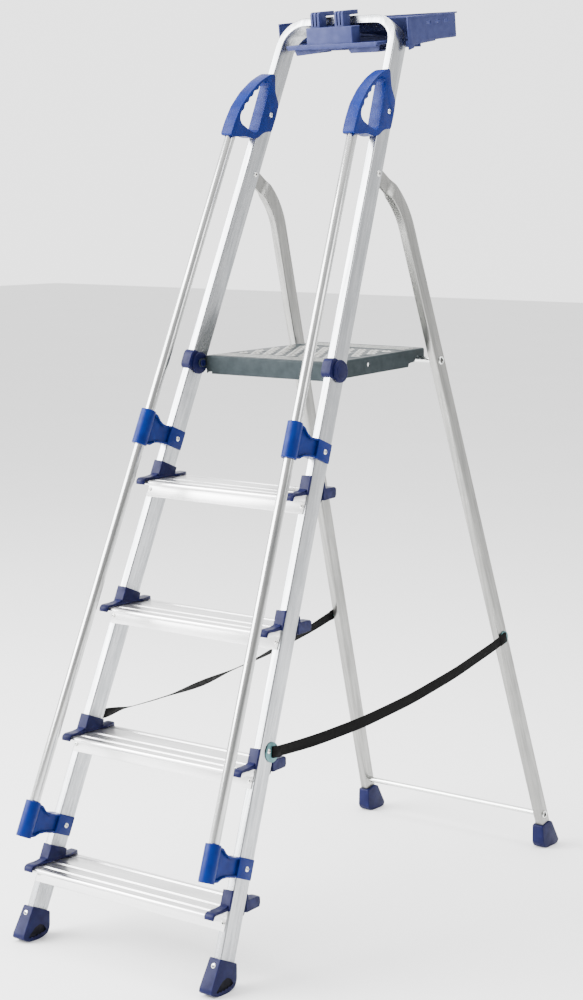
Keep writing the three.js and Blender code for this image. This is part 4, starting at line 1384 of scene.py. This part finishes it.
@dataclass
class RearFrame:
    """The two bent legs and the bars between them."""

    layout: Layout = SIZES
    bend_radius: float = 170.0
    top_slope: float = math.radians(34.5)
    leg_end: float = 14.0
    tongue: float = 5.0
    tongue_length: float = 38.0
    flare: float = 28.0
    platform_bar_drop: float = 18.0
    bar_radius: float = 6.0
    bar_wall: float = 1.2
    rim_radius: float = 6.6
    rim_thickness: float = 1.9

    @property
    def pivot(self) -> Point:
        """The leg pivot in depth and height, before the ladder is centred."""
        at = FRAME_SPACE @ Vector((0.0, self.layout.pivot_behind, self.layout.pivot_along))
        return at.y, at.z

    def band(self, half_depth: float) -> list[Point]:
        """Return the leg's side outline in its own frame."""
        layout = self.layout
        lean, slope = layout.rear_lean, self.top_slope
        pivot_y, pivot_t = self.pivot[0], layout.leg_t(self.pivot[1])
        top = (math.cos(slope), -math.sin(slope))
        turn = math.pi / 2 - lean - slope
        gap_y = layout.feet_spread - math.tan(lean) * pivot_t - pivot_y
        corner = gap_y / (top[0] + math.tan(lean) * top[1])
        start = corner - self.bend_radius * math.tan(turn / 2)
        bend = (pivot_y + top[0] * start, pivot_t + top[1] * start)
        first = math.pi / 2 - slope
        centre = (
            bend[0] - self.bend_radius * math.cos(first),
            bend[1] - self.bend_radius * math.sin(first),
        )
        outer = arc(centre, self.bend_radius + half_depth, first, first - turn, 24)
        inner = arc(centre, self.bend_radius - half_depth, first - turn, first, 24)
        cap = arc((pivot_y, pivot_t), half_depth, first + math.pi, first, 14)
        bend_end = arc(centre, self.bend_radius, first - turn, first - turn, 1)[0]
        run = (bend_end[1] - layout.leg_t(self.leg_end)) / math.cos(lean)
        end = Vector(bend_end) + Vector((math.sin(lean), -math.cos(lean))) * run
        side = Vector((math.cos(lean), math.sin(lean))) * half_depth
        return [*cap, *outer, tuple(end + side), tuple(end - side), *inner]

    def flattening(self) -> Piece:
        """Return what is pressed out of one side of the leg's top end."""
        half, flat = self.layout.leg_width / 2, self.tongue / 2
        length, flare = self.tongue_length, self.flare
        curve = [
            (length + flare * i / 10, flat + (half - flat) * (1 - math.cos(math.pi * i / 10)) / 2)
            for i in range(11)
        ]
        outline = [(-40.0, flat), *curve, (length + flare, half + 5.0), (-40.0, half + 5.0)]
        piece = extruded("flattening", outline, Plane.ACROSS_Z, -45.0, 45.0)
        slope = self.top_slope
        along = Vector((0.0, math.cos(slope), -math.sin(slope)))
        across = Vector((1.0, 0.0, 0.0))
        basis = Matrix((along, across, along.cross(across))).transposed().to_4x4()
        place = Matrix.Translation((0.0, self.pivot[0], self.layout.leg_t(self.pivot[1])))
        settle(piece, place @ basis)
        return piece

    def build_leg(self) -> None:
        """Build the pair of legs."""
        half = self.layout.leg_width / 2
        leg = extruded(
            "rear_leg", self.band(self.layout.leg_depth / 2), Plane.ACROSS_X, -half, half,
        )
        soften(leg, 2.4, 4, 40.0)
        flat = self.flattening()
        carve(leg, copy_of(flat, "flattening_left", MIRROR), flat)
        soften(leg, 0.5, 2, 50.0)
        settle(leg, TO_ROW @ LEG_SPACE)
        both_hands(leg, "rear_leg", Finish.LEG, Body.REAR, "rear_leg_{side}")

    def build_bar(self, name: str, z: float) -> None:
        """Build a bar across both legs, with its open ends flared.

        Args:
            name: The bar's node.
            z: Its height.
        """
        layout = self.layout
        outer = layout.leg_half_width - z * math.tan(layout.leg_splay) + 0.6
        y = layout.leg_y(z)
        bar = rod(f"{name}_look", (-outer, y, z), (outer, y, z), self.bar_radius, 40)
        for side in (1.0, -1.0):
            clear_selection()
            bpy.ops.mesh.primitive_torus_add(
                major_segments=36, minor_segments=12, major_radius=self.rim_radius,
                minor_radius=self.rim_thickness,
            )
            rim = newest("rim")
            settle(
                rim,
                Matrix.Translation((side * (outer + 0.4), y, z)) @ Matrix.Rotation(
                    math.pi / 2, 4, "Y",
                ),
            )
            fuse(bar, rim)
        bore = self.bar_radius - self.bar_wall
        carve(bar, rod("bore", (-outer - 9.0, y, z), (outer + 9.0, y, z), bore, 32))
        bar.data.materials.append(Finish.BAR.material)
        # The bore's inner faces get the near-black painted hole shade.
        bar.data.materials.append(Finish.MANDREL.material)
        for polygon in bar.data.polygons:
            away = math.hypot(polygon.center.y - y, polygon.center.z - z)
            inside = away < bore + 0.3 and abs(polygon.normal.x) < 0.9
            polygon.material_index = int(inside)
        settle(bar, TO_ROW)
        dress(bar, Finish.BAR, Body.REAR, name)

    def build(self) -> None:
        """Build the legs and both bars."""
        self.build_leg()
        self.build_bar("cross_bar", self.layout.cross_bar)
        self.build_bar("platform_bar", self.layout.platform_top - self.platform_bar_drop)


# ---------------------------------------------------------------- platform


@dataclass
class Platform:
    """The pressed platform with its embossed top, and its pins and saddles."""

    layout: Layout = SIZES
    depth: float = 344.0
    front_gap: float = 10.0
    pin_drop: float = 18.0
    side_gap: float = 8.6
    taper: float = 0.0503
    sheet: float = 1.8
    skirt_drop: float = 36.0
    flange_drop: float = 34.0
    settled: float = 4.0
    pitch: float = math.radians(1.5)
    hook_drop: float = 27.0
    bar_radius: float = 6.6
    lug_radius: float = 8.5
    pin_radius: float = 4.0
    saddle_radius: float = 22.0
    saddle_disc: float = 6.5
    boss_rows: int = 7
    boss_pitch: float = 30.0
    boss_start: float = 78.0
    boss_foot: float = 9.6
    boss_crown: float = 5.6
    boss_hole: float = 3.6
    bare_above: float = 0.35
    front_ridges: tuple[float, ...] = (18.0, 34.0, 50.0)
    rear_ridges: tuple[float, ...] = (62.0, 46.0, 30.0)
    ridge_margin: float = 11.0
    side_hole: tuple[float, float, float] = (141.0, 1086.0, 4.2)

    @property
    def top(self) -> float:
        """Height of the sheet's top over the pin, before the platform is pitched."""
        return self.layout.platform_top - self.settled

    @property
    def pin(self) -> Point:
        """The pin's depth and height."""
        z = self.layout.platform_top - self.pin_drop
        return self.layout.face_y(z) + self.layout.stile_depth / 2 / math.cos(self.layout.lean), z

    @property
    def front(self) -> float:
        """Depth of the platform's front edge."""
        return self.pin[0] + self.front_gap

    @property
    def half(self) -> float:
        """Half the platform's width at its front edge."""
        return self.layout.stile_inner_x(self.pin[1]) - self.side_gap

    def plan(self, inset: float, radius: float) -> list[Point]:
        """Return the tapered plan outline with rounded corners."""
        front, rear = self.front + inset, self.front + self.depth - inset
        near = self.half - inset - (front - self.front) * self.taper
        far = self.half - inset - (rear - self.front) * self.taper
        corners = [(-near, front), (near, front), (far, rear), (-far, rear)]
        return rounded(corners, radius, 6)

    def profile(self) -> list[Point]:
        """Return the side view that the pressed shell is trimmed to."""
        top, front, rear = self.top, self.front, self.front + self.depth
        pin_y, pin_z = self.pin
        reach = self.layout.leg_y(pin_z) - pin_y
        bar = pin_y + reach * math.cos(self.pitch)
        over = pin_z - reach * math.sin(self.pitch) + self.bar_radius
        inner = rear - self.sheet - 0.4
        return [
            (front - 4.0, top + 8.0), (front - 4.0, top - self.skirt_drop),
            (front + 4.0, top - self.skirt_drop), (front + 10.0, top - self.flange_drop),
            (bar - 54.0, top - self.flange_drop), (bar - 51.0, top - 27.0),
            (bar - 30.0, top - 25.0), (bar - 27.0, top - 21.0), (bar - 20.0, over + 3.0),
            (bar - 14.0, over), (inner, over), (inner, top - self.hook_drop),
            (rear + 4.0, top - self.hook_drop), (rear + 4.0, top + 8.0),
        ]

    def build_shell(self) -> Piece:
        """Model the folded sheet with its lugs."""
        top = self.top
        shell = extruded("platform_look", self.plan(0.0, 9.0), Plane.ACROSS_Z, top - 60.0, top)
        soften(shell, 3.6, 5, 50.0)
        core = extruded(
            "core", self.plan(self.sheet, 8.0), Plane.ACROSS_Z, top - 80.0, top - self.sheet,
        )
        soften(core, 2.2, 3, 50.0)
        carve(shell, core)
        trim = extruded("trim", self.profile(), Plane.ACROSS_X, -400.0, 400.0)
        keep_inside(shell, trim)
        pin_y, pin_z = self.pin
        inner, outer = self.half - self.sheet, self.half
        lug = rod("lug", (inner, pin_y, pin_z), (outer, pin_y, pin_z), self.lug_radius, 48)
        low = (inner, pin_y, pin_z - self.lug_radius)
        strip = slab("strip", low, (outer - 0.05, self.front + 12.0, pin_z + self.lug_radius))
        fuse(lug, strip)
        fuse(shell, copy_of(lug, "lug_left", MIRROR), lug)
        holes = [
            rod(
                "pin_hole", (-400.0, pin_y, pin_z), (400.0, pin_y, pin_z), self.pin_radius + 0.3,
                32,
            )
        ]
        behind_pin, up, radius = self.side_hole
        hole_y = pin_y + behind_pin
        holes.append(rod("side_hole", (-400.0, hole_y, up), (400.0, hole_y, up), radius, 28))
        for side in (1.0, -1.0):
            low_x, high_x = sorted((side * (self.half - 18.0), side * (self.half + 9.0)))
            holes.append(
                slab(
                    "notch", (low_x, self.front - 9.0, top - 70.0),
                    (high_x, self.front + 5.0, top - 29.0),
                )
            )
        carve(shell, *holes)
        return shell

    def ridge(self, y: float) -> Piece:
        """Model one pressed ridge across the top, ending short of both sides."""
        top = self.top
        reach = self.half - (y - self.front) * self.taper - self.ridge_margin
        bump = [(y - 5.0, top - 0.6), (y - 3.0, top + 0.5), (y - 1.0, top + 1.1)]
        bump += [(y + 1.0, top + 1.1), (y + 3.0, top + 0.5), (y + 5.0, top - 0.6)]
        ridge = extruded("ridge", bump, Plane.ACROSS_X, -reach, reach)
        soften(ridge, 0.5, 2, 60.0)
        return ridge

    def bosses(self) -> tuple[Piece, Piece]:
        """Model the field of pierced round bosses, and the holes through them."""
        top = self.top
        rims: list[Piece] = []
        holes: list[Piece] = []
        start = self.front + self.boss_start
        for row in range(self.boss_rows):
            count = 9 if row % 2 == 0 else 8
            for column in range(count):
                x = (column - (count - 1) / 2) * self.boss_pitch
                y = start + row * self.boss_pitch * 0.87
                clear_selection()
                bpy.ops.mesh.primitive_cone_add(
                    vertices=24, radius1=self.boss_foot, radius2=self.boss_crown, depth=2.0,
                )
                cone = newest("boss")
                settle(cone, Matrix.Translation((x, y, top + 0.9)))
                rims.append(cone)
                holes.append(rod("hole", (x, y, top - 9.0), (x, y, top + 9.0), self.boss_hole, 24))
        return gather(*rims), gather(*holes)

    def build_saddle(self) -> None:
        """Build the pair of saddles over the stiles' front faces."""
        layout = self.layout
        half = layout.stile_width / 2 + 0.4
        behind = layout.stile_depth / 2
        along = (FRAME_SPACE.inverted() @ Vector((0.0, *self.pin))).z
        outer = rod(
            "platform_saddle", (half - 1.0, behind, 0.0), (half + self.saddle_disc, behind, 0.0),
            self.saddle_radius, 64,
        )
        soften(outer, 2.8, 5, 50.0)
        crown = rod(
            "crown", (half, behind, 0.0), (half + self.saddle_disc + 0.7, behind, 0.0), 15.0, 64,
        )
        soften(crown, 1.2, 4, 50.0)
        inner = rod(
            "inner", (-half - self.saddle_disc, behind, 0.0), (-half + 1.0, behind, 0.0),
            self.saddle_radius, 64,
        )
        soften(inner, 2.4, 4, 50.0)
        drum = rounded([(-7.6, -19.5), (-7.6, 20.5), (behind, 20.5), (behind, -19.5)], 13.0, 8)
        web = extruded("web", drum, Plane.ACROSS_X, -half - 3.0, half + 1.6)
        soften(web, 2.4, 5, 50.0)
        saddle = fuse(outer, crown, inner, web)
        hold = slab("hold", (-half, -0.4, -60.0), (half, layout.stile_depth + 30.0, 60.0))
        carve(saddle, hold)
        settle(saddle, facing_out(0.0, 0.0, along))
        pin_y, pin_z = self.pin
        reach = layout.stile_inner_x(pin_z) + 24.0
        carve(
            saddle,
            rod("bore", (0.0, pin_y, pin_z), (reach, pin_y, pin_z), self.pin_radius + 0.2, 32),
        )
        settle(saddle, TO_ROW)
        both_hands(saddle, "platform_saddle", Finish.NAVY, Body.FRONT, "platform_saddle_{side}")

    def build_pin(self) -> None:
        """Build the pair of pins that the platform turns on."""
        pin_y, pin_z = self.pin
        inner = self.half - self.sheet
        end = self.layout.stile_inner_x(pin_z) + 12.0
        pin = rod(
            "platform_pin", (inner - 3.0, pin_y, pin_z), (end, pin_y, pin_z), self.pin_radius, 32,
        )
        head = rod(
            "head", (inner - 4.0, pin_y, pin_z), (inner - 0.6, pin_y, pin_z), self.pin_radius + 3.0,
            32,
        )
        soften(head, 0.8, 3, 40.0)
        fuse(pin, head)
        settle(pin, TO_ROW)
        both_hands(pin, "platform_pin", Finish.NAVY, Body.FRONT, "platform_pin_{side}")

    def build(self) -> None:
        """Build the platform, its saddles and its pins."""
        shell = self.build_shell()
        rims, holes = self.bosses()
        ridges = [self.ridge(self.front + at) for at in self.front_ridges]
        rear = self.front + self.depth
        ridges += [self.ridge(rear - at) for at in self.rear_ridges]
        fuse(shell, rims, *ridges)
        carve(shell, holes)
        shell.data.materials.append(Finish.COAT.material)
        shell.data.materials.append(Finish.BARE.material)
        for polygon in shell.data.polygons:
            polygon.material_index = int(polygon.center.z > self.top + self.bare_above)
        pin = Matrix.Translation((0.0, *self.pin))
        settle(shell, TO_ROW @ pin @ Matrix.Rotation(self.pitch, 4, "X") @ pin.inverted())
        dress(shell, Finish.COAT, Body.DECK, "platform", smooth=38.0)
        self.build_saddle()
        self.build_pin()


# ---------------------------------------------------------------- straps


@dataclass
class Straps:
    """The two webbing straps that stop the legs spreading, and their washers."""

    layout: Layout = SIZES
    width: float = 21.0
    thickness: float = 1.5
    sag: float = 30.0
    front_along: float = 450.0
    front_behind: float = 33.0
    rear_height: float = 489.0
    face: float = 9.4
    washer: float = 2.0
    front_radius: float = 19.0
    rear_radius: float = 13.4
    spans: int = 96

    def ends(self) -> tuple[Vector, Vector]:
        """Return the right-hand strap's two ends, before the ladder is centred."""
        layout = self.layout
        out = self.face + self.washer + 1.0
        start = STILE_SPACE @ Vector((out, self.front_behind, layout.along(self.front_along)))
        rear_y = layout.leg_y(self.rear_height)
        end = LEG_SPACE @ Vector((out, rear_y, layout.leg_t(self.rear_height)))
        return start, end

    def centre(self, share: float) -> Vector:
        """Return the strap's middle line at a share of its run."""
        start, end = self.ends()
        at = start.lerp(end, share)
        at.z -= 4 * self.sag * share * (1 - share)
        return at

    def turn_at(self, share: float, turns: Sequence[Point]) -> float:
        """Return the turn in radians at a share of the run, eased between the given ones."""
        for (start, low), (end, high) in zip(turns, turns[1:]):
            if share <= end:
                t = (share - start) / (end - start)
                return math.radians(low + (high - low) * t * t * (3 - 2 * t))
        return math.radians(turns[-1][1])

    def ribbon(self, name: str, turns: Sequence[Point]) -> Piece:
        """Model a strap as a sheet with slight turns in it, and give it thickness.

        Args:
            name: The strap's name.
            turns: Shares of the run, with the strap's turn there in degrees.

        Returns:
            The strap, on the right-hand side, with a UV map in millimetres.
        """
        across = 6
        clear_selection()
        bpy.ops.mesh.primitive_grid_add(x_subdivisions=self.spans, y_subdivisions=across, size=2.0)
        piece = newest(name)
        places: list[tuple[float, float]] = []
        for vertex in piece.data.vertices:
            share, v = (vertex.co.x + 1) / 2, vertex.co.y * self.width / 2
            places.append((share, v))
            ahead = self.centre(min(share + 0.005, 1.0)) - self.centre(max(share - 0.005, 0.0))
            ahead.normalize()
            up = Vector((0.0, -ahead.z, ahead.y)).normalized()
            side = up.cross(ahead).normalized()
            turn = self.turn_at(share, turns)
            wave = 0.5 * math.sin(share * 31.0) * min(1.0, 6 * share, 6 * (1 - share))
            direction = up * math.cos(turn) + side * math.sin(turn)
            vertex.co = self.centre(share) + direction * v + side * wave
        length = (self.ends()[1] - self.ends()[0]).length
        layer = piece.data.uv_layers.active.data
        for loop in piece.data.loops:
            share, v = places[loop.vertex_index]
            layer[loop.index].uv = (share * length, v)
        use(piece, "SOLIDIFY", thickness=self.thickness, offset=0.0)
        soften(piece, 0.35, 2, 60.0)
        return piece

    def build_end(self, name: str, share: float, turn: float) -> Piece:
        """Model the strap's folded end, sewn over itself."""
        half = self.width / 2 + 0.4
        patch = rounded([(-11.0, -half), (13.0, -half), (13.0, half), (-11.0, half)], 1.6, 3)
        piece = extruded(name, patch, Plane.ACROSS_X, -0.9, 2.0)
        soften(piece, 0.6, 2, 40.0)
        settle(piece, Matrix.Translation(self.centre(share)) @ Matrix.Rotation(turn, 4, "X"))
        return piece

    def build_strap(self, side: Side, turns: Sequence[Point]) -> None:
        """Build one hand's strap.

        Args:
            side: Which hand.
            turns: Shares of the run, with the strap's turn there in degrees.
        """
        strap = self.ribbon(f"strap_{side.value}_look", turns)
        ends = [
            self.build_end("front_end", 0.012, math.radians(-6.0)),
            self.build_end("rear_end", 0.988, math.radians(16.0)),
        ]
        gather(strap, *ends)
        place = TO_ROW if side is Side.RIGHT else TO_ROW @ MIRROR
        settle(strap, place)
        face_outwards(strap, 1e-8)
        strap.data.materials.append(Finish.STRAP.material)
        shade(strap, 50.0)
        start, end = (place @ self.centre(share) for share in (0.0, 1.0))
        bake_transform(strap)
        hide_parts(f"strap_{side.value}")
        path = [tuple(place @ self.centre(i / self.spans)) for i in range(self.spans + 1)]

    def build_washers(self) -> None:
        """Build the washers under the straps' ends and the rivets beside them."""
        layout = self.layout
        out = self.face + self.washer
        front = rod(
            "strap_anchor_front", (self.face, 0.0, 0.0), (out, 0.0, 0.0), self.front_radius, 64,
        )
        soften(front, 0.6, 3, 40.0)
        settle(front, TO_ROW @ facing_out(0.0, self.front_behind, self.front_along))
        both_hands(
            front, "strap_anchor_front", Finish.WASHER, Body.FRONT, "strap_anchor_front_{side}",
        )
        rivet_at = facing_out(out - 0.1, self.front_behind - 10.5, self.front_along)
        RIVETS.put("strap_rivet_front", rivet_at, Body.FRONT, None, 0.9)
        rear = rod(
            "strap_anchor_rear", (self.face, 0.0, 0.0), (out, 0.0, 0.0), self.rear_radius, 56,
        )
        soften(rear, 0.6, 3, 40.0)
        at = (0.0, layout.leg_y(self.rear_height), layout.leg_t(self.rear_height))
        settle(rear, TO_ROW @ LEG_SPACE @ Matrix.Translation(at))
        both_hands(rear, "strap_anchor_rear", Finish.WASHER, Body.REAR, "strap_anchor_rear_{side}")

    def build_straps(self) -> None:
        """Build both straps, each with its own turn."""
        self.build_strap(
            Side.RIGHT, ((0.0, 0.0), (0.04, 0.0), (0.2, 30.0), (0.5, 12.0), (1.0, 0.0)),
        )
        edge_on = ((0.0, 0.0), (0.03, 10.0), (0.14, 70.0), (0.26, 66.0), (0.42, 34.0), (0.56, 62.0))
        self.build_strap(Side.LEFT, (*edge_on, (0.78, 30.0), (0.96, 6.0), (1.0, 0.0)))


# ---------------------------------------------------------------- tool tray


@dataclass
class ToolTray:
    """The clip-on tool tray behind the hoop."""

    tilt: float = math.radians(7.0)
    place: Point = (712.0, 1697.0)
    half: float = 160.0
    depth: float = 170.0
    height: float = 64.0
    wall: float = 2.6
    floor: float = 18.0
    bin_front: float = 40.0
    posts: tuple[float, ...] = (-36.0, 23.0)

    def bin(self) -> Piece:
        """Model the open bin with its side wings."""
        half, wall, top = self.half, self.wall, self.height
        outer = slab(
            "tool_tray_look", (-half, self.bin_front, self.floor - 4.0), (half, self.depth, top),
        )
        soften(outer, 3.0, 4, 40.0)
        inner = slab(
            "inner", (-half + wall, self.bin_front + wall, self.floor + wall),
            (half - wall, self.depth - wall, top + 20.0),
        )
        soften(inner, 2.0, 3, 40.0)
        carve(outer, inner)
        wing = [
            (0.0, 0.0), (18.0, 3.0), (18.0, 9.0), (93.0, 12.0), (93.0, self.floor),
            (self.depth - 4.0, self.floor), (self.depth - 4.0, top), (0.0, top),
        ]
        side = extruded("wing", rounded(wing, 1.5, 3), Plane.ACROSS_X, half - wall, half)
        soften(side, 0.7, 2, 40.0)
        rim = slab("rim", (half - wall - 1.2, 1.0, top - 3.4), (half + 1.2, self.depth + 2.0, top))
        soften(rim, 0.9, 3, 40.0)
        rear = slab(
            "rear_rim", (-half - 1.0, self.depth - wall, top - 3.4),
            (half + 1.0, self.depth + 4.0, top),
        )
        soften(rear, 0.9, 3, 40.0)
        front = slab(
            "front_wall", (-half + 1.0, self.bin_front, 4.0),
            (half - 1.0, self.bin_front + wall, top),
        )
        soften(front, 0.8, 2, 40.0)
        return fuse(
            outer, copy_of(side, "wing_left", MIRROR), side, copy_of(rim, "rim_left", MIRROR), rim,
            rear, front,
        )

    def clip(self) -> Piece:
        """Model the ledge, the front block and the two ribbed posts."""
        ledge = slab("ledge", (-106.0, -48.0, 15.0), (117.0, self.bin_front + 1.0, 21.0))
        soften(ledge, 1.4, 3, 40.0)
        lip = slab("lip", (-104.0, -48.0, 12.0), (115.0, -44.0, 21.5))
        soften(lip, 1.2, 3, 40.0)
        block = slab("block", (-57.0, -44.0, 16.0), (56.0, -16.0, 54.0))
        soften(block, 1.8, 3, 40.0)
        left_skirt = [
            (-98.0, 16.0), (-92.0, 0.0), (-50.0, 3.0), (-20.0, 8.0), (20.0, 9.0), (20.0, 16.0),
        ]
        right_skirt = [
            (34.0, 16.0), (40.0, 4.0), (44.0, 1.0), (106.0, 1.0), (110.0, 4.0), (112.0, 16.0),
        ]
        skirts = [
            extruded("skirt", rounded(line, 2.5, 3), Plane.ACROSS_Y, -34.0, -30.0)
            for line in (left_skirt, right_skirt)
        ]
        floors = [
            slab("under", (-92.0, -34.0, 2.5), (-58.0, 38.0, 6.0)),
            slab("under", (42.0, -34.0, 1.0), (108.0, 38.0, 4.5)),
        ]
        posts: list[Piece] = []
        for x in self.posts:
            post = [
                (-40.0, 50.0), (-40.0, 80.0), (-36.0, 84.0), (12.0, 84.0), (12.0, 75.0),
                (-16.0, 75.0), (-16.0, 50.0),
            ]
            hook = extruded("post", rounded(post, 2.0, 3), Plane.ACROSS_X, x - 11.0, x + 11.0)
            soften(hook, 0.8, 2, 50.0)
            for offset in (-4.0, 4.0):
                groove = slab(
                    "groove", (x + offset - 1.5, -45.0, 56.0), (x + offset + 1.5, -35.0, 90.0),
                )
                carve(hook, groove)
            posts.append(hook)
        return fuse(ledge, lip, block, *skirts, *floors, *posts)

    def slots(self) -> list[Piece]:
        """Model the slots through the bin's side walls and floor."""
        cuts = []
        for y in (66.0, 96.0, 126.0):
            cuts.append(slab("slot", (-200.0, y, 46.0), (200.0, y + 14.0, 52.0)))
        for x in (-120.0, -80.0, 74.0, 114.0):
            cuts.append(rod("tool_hole", (x, 20.0, 0.0), (x, 20.0, 30.0), 7.0, 32))
        return cuts

    def build(self) -> None:
        """Build the tray."""
        tray = fuse(self.bin(), self.clip())
        carve(tray, *self.slots())
        y, z = self.place
        settle(tray, TO_ROW @ Matrix.Translation((0.0, y, z)) @ Matrix.Rotation(self.tilt, 4, "X"))
        dress(tray, Finish.TRAY, Body.FRONT, "tool_tray")


# ---------------------------------------------------------------- studio


@dataclass(frozen=True)
class AreaLight:
    """One soft box.

    The position is where it hangs, and it looks at the middle of the ladder.
    """

    name: str
    position: Place
    size: float
    power: float

    def build(self, target: Vector) -> None:
        """Add the light, facing a point."""
        clear_selection()
        bpy.ops.object.light_add(type="AREA", location=self.position)
        light = newest(self.name)
        light.data.shape = "DISK"
        light.data.size = self.size
        light.data.energy = self.power
        direction = target - Vector(self.position)
        light.rotation_euler = direction.to_track_quat("-Z", "Y").to_euler()


@dataclass
class Studio:
    """The camera, the pale floor and the soft light."""

    camera_place: Place = (2.6289, -3.4252, 1.4360)
    camera_turn: Place = (math.radians(81.75), 0.0, math.radians(37.86))
    lens: float = 78.13
    floor_size: float = 40.0
    world: tuple[float, float] = (0.35, 2.9)
    brightest: Place = (-0.86, 0.45, 0.24)
    lights: tuple[AreaLight, ...] = (
        AreaLight("Key light", (-2.6, -2.8, 2.7), 4.4, 820.0),
        AreaLight("Fill light", (3.4, 0.6, 2.6), 2.0, 50.0),
        AreaLight("Top light", (0.0, 0.2, 4.4), 3.0, 200.0),
    )

    def build_camera(self) -> None:
        """Set up the camera."""
        clear_selection()
        bpy.ops.object.camera_add(location=self.camera_place, rotation=self.camera_turn)
        camera = newest("Camera")
        camera.data.lens = self.lens
        camera.data.sensor_width = 36.0
        camera.data.sensor_fit = "AUTO"
        bpy.context.scene.camera = camera

    def build_floor(self) -> None:
        """Lay the floor."""
        clear_selection()
        bpy.ops.mesh.primitive_plane_add(size=self.floor_size)
        floor = newest("Floor")
        material, w, shader = start_material("Pale floor")
        where = w.add("ShaderNodeTexCoord").outputs["Object"]
        cloud = w.add("ShaderNodeTexNoise", {0: where, "Scale": 1.5, "Detail": 2.0})
        tone = w.mix(cloud.outputs[0], rgba((0.86, 0.86, 0.86)), rgba((0.9, 0.9, 0.9)))
        w.feed(shader, {"Base Color": tone})
        shader.inputs["Roughness"].default_value = 0.7
        floor.data.materials.append(material)

    def build_world(self) -> None:
        """Light the scene from all round, most of all from the side named brightest."""
        world = bpy.data.worlds.new("Studio")
        world.use_nodes = True
        background = world.node_tree.nodes["Background"]
        background.inputs[0].default_value = (1.0, 1.0, 1.0, 1.0)
        w = Wiring(world.node_tree)
        where = w.add("ShaderNodeTexCoord").outputs["Generated"]
        along = w.add(
            "ShaderNodeVectorMath", {0: where, 1: self.brightest}, operation="DOT_PRODUCT",
        )
        facing = w.ramp(along.outputs["Value"], -1.0, 1.0)
        w.tree.links.new(w.spread(facing, *self.world), background.inputs[1])
        bpy.context.scene.world = world

    def build(self) -> None:
        """Build the floor and the light."""
        self.build_floor()
        self.build_world()
        for light in self.lights:
            light.build(Vector((0.0, 0.0, 0.9)))


# ---------------------------------------------------------------- assembly


def check_all_dressed() -> None:
    """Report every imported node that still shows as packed."""
    for name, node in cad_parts.items():
        if not node.hide_render:
            log.warning("%s still shows as packed", name)


def main() -> None:
    """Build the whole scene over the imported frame."""
    logging.basicConfig(level=logging.INFO, format="%(name)s: %(message)s")
    studio = Studio()
    studio.build_camera()
    straps = Straps()
    straps.build_straps()
    for assembly in (
        FrontFrame(), Treads(), TreadBrackets(), Feet(), Handrails(), RearFrame(), Platform(),
        ToolTray(),
    ):
        assembly.build()
        log.info("%s built", type(assembly).__name__)
    straps.build_washers()
    RIVETS.remove_master()
    check_all_dressed()
    studio.build()


if __name__ == "__main__":
    main()
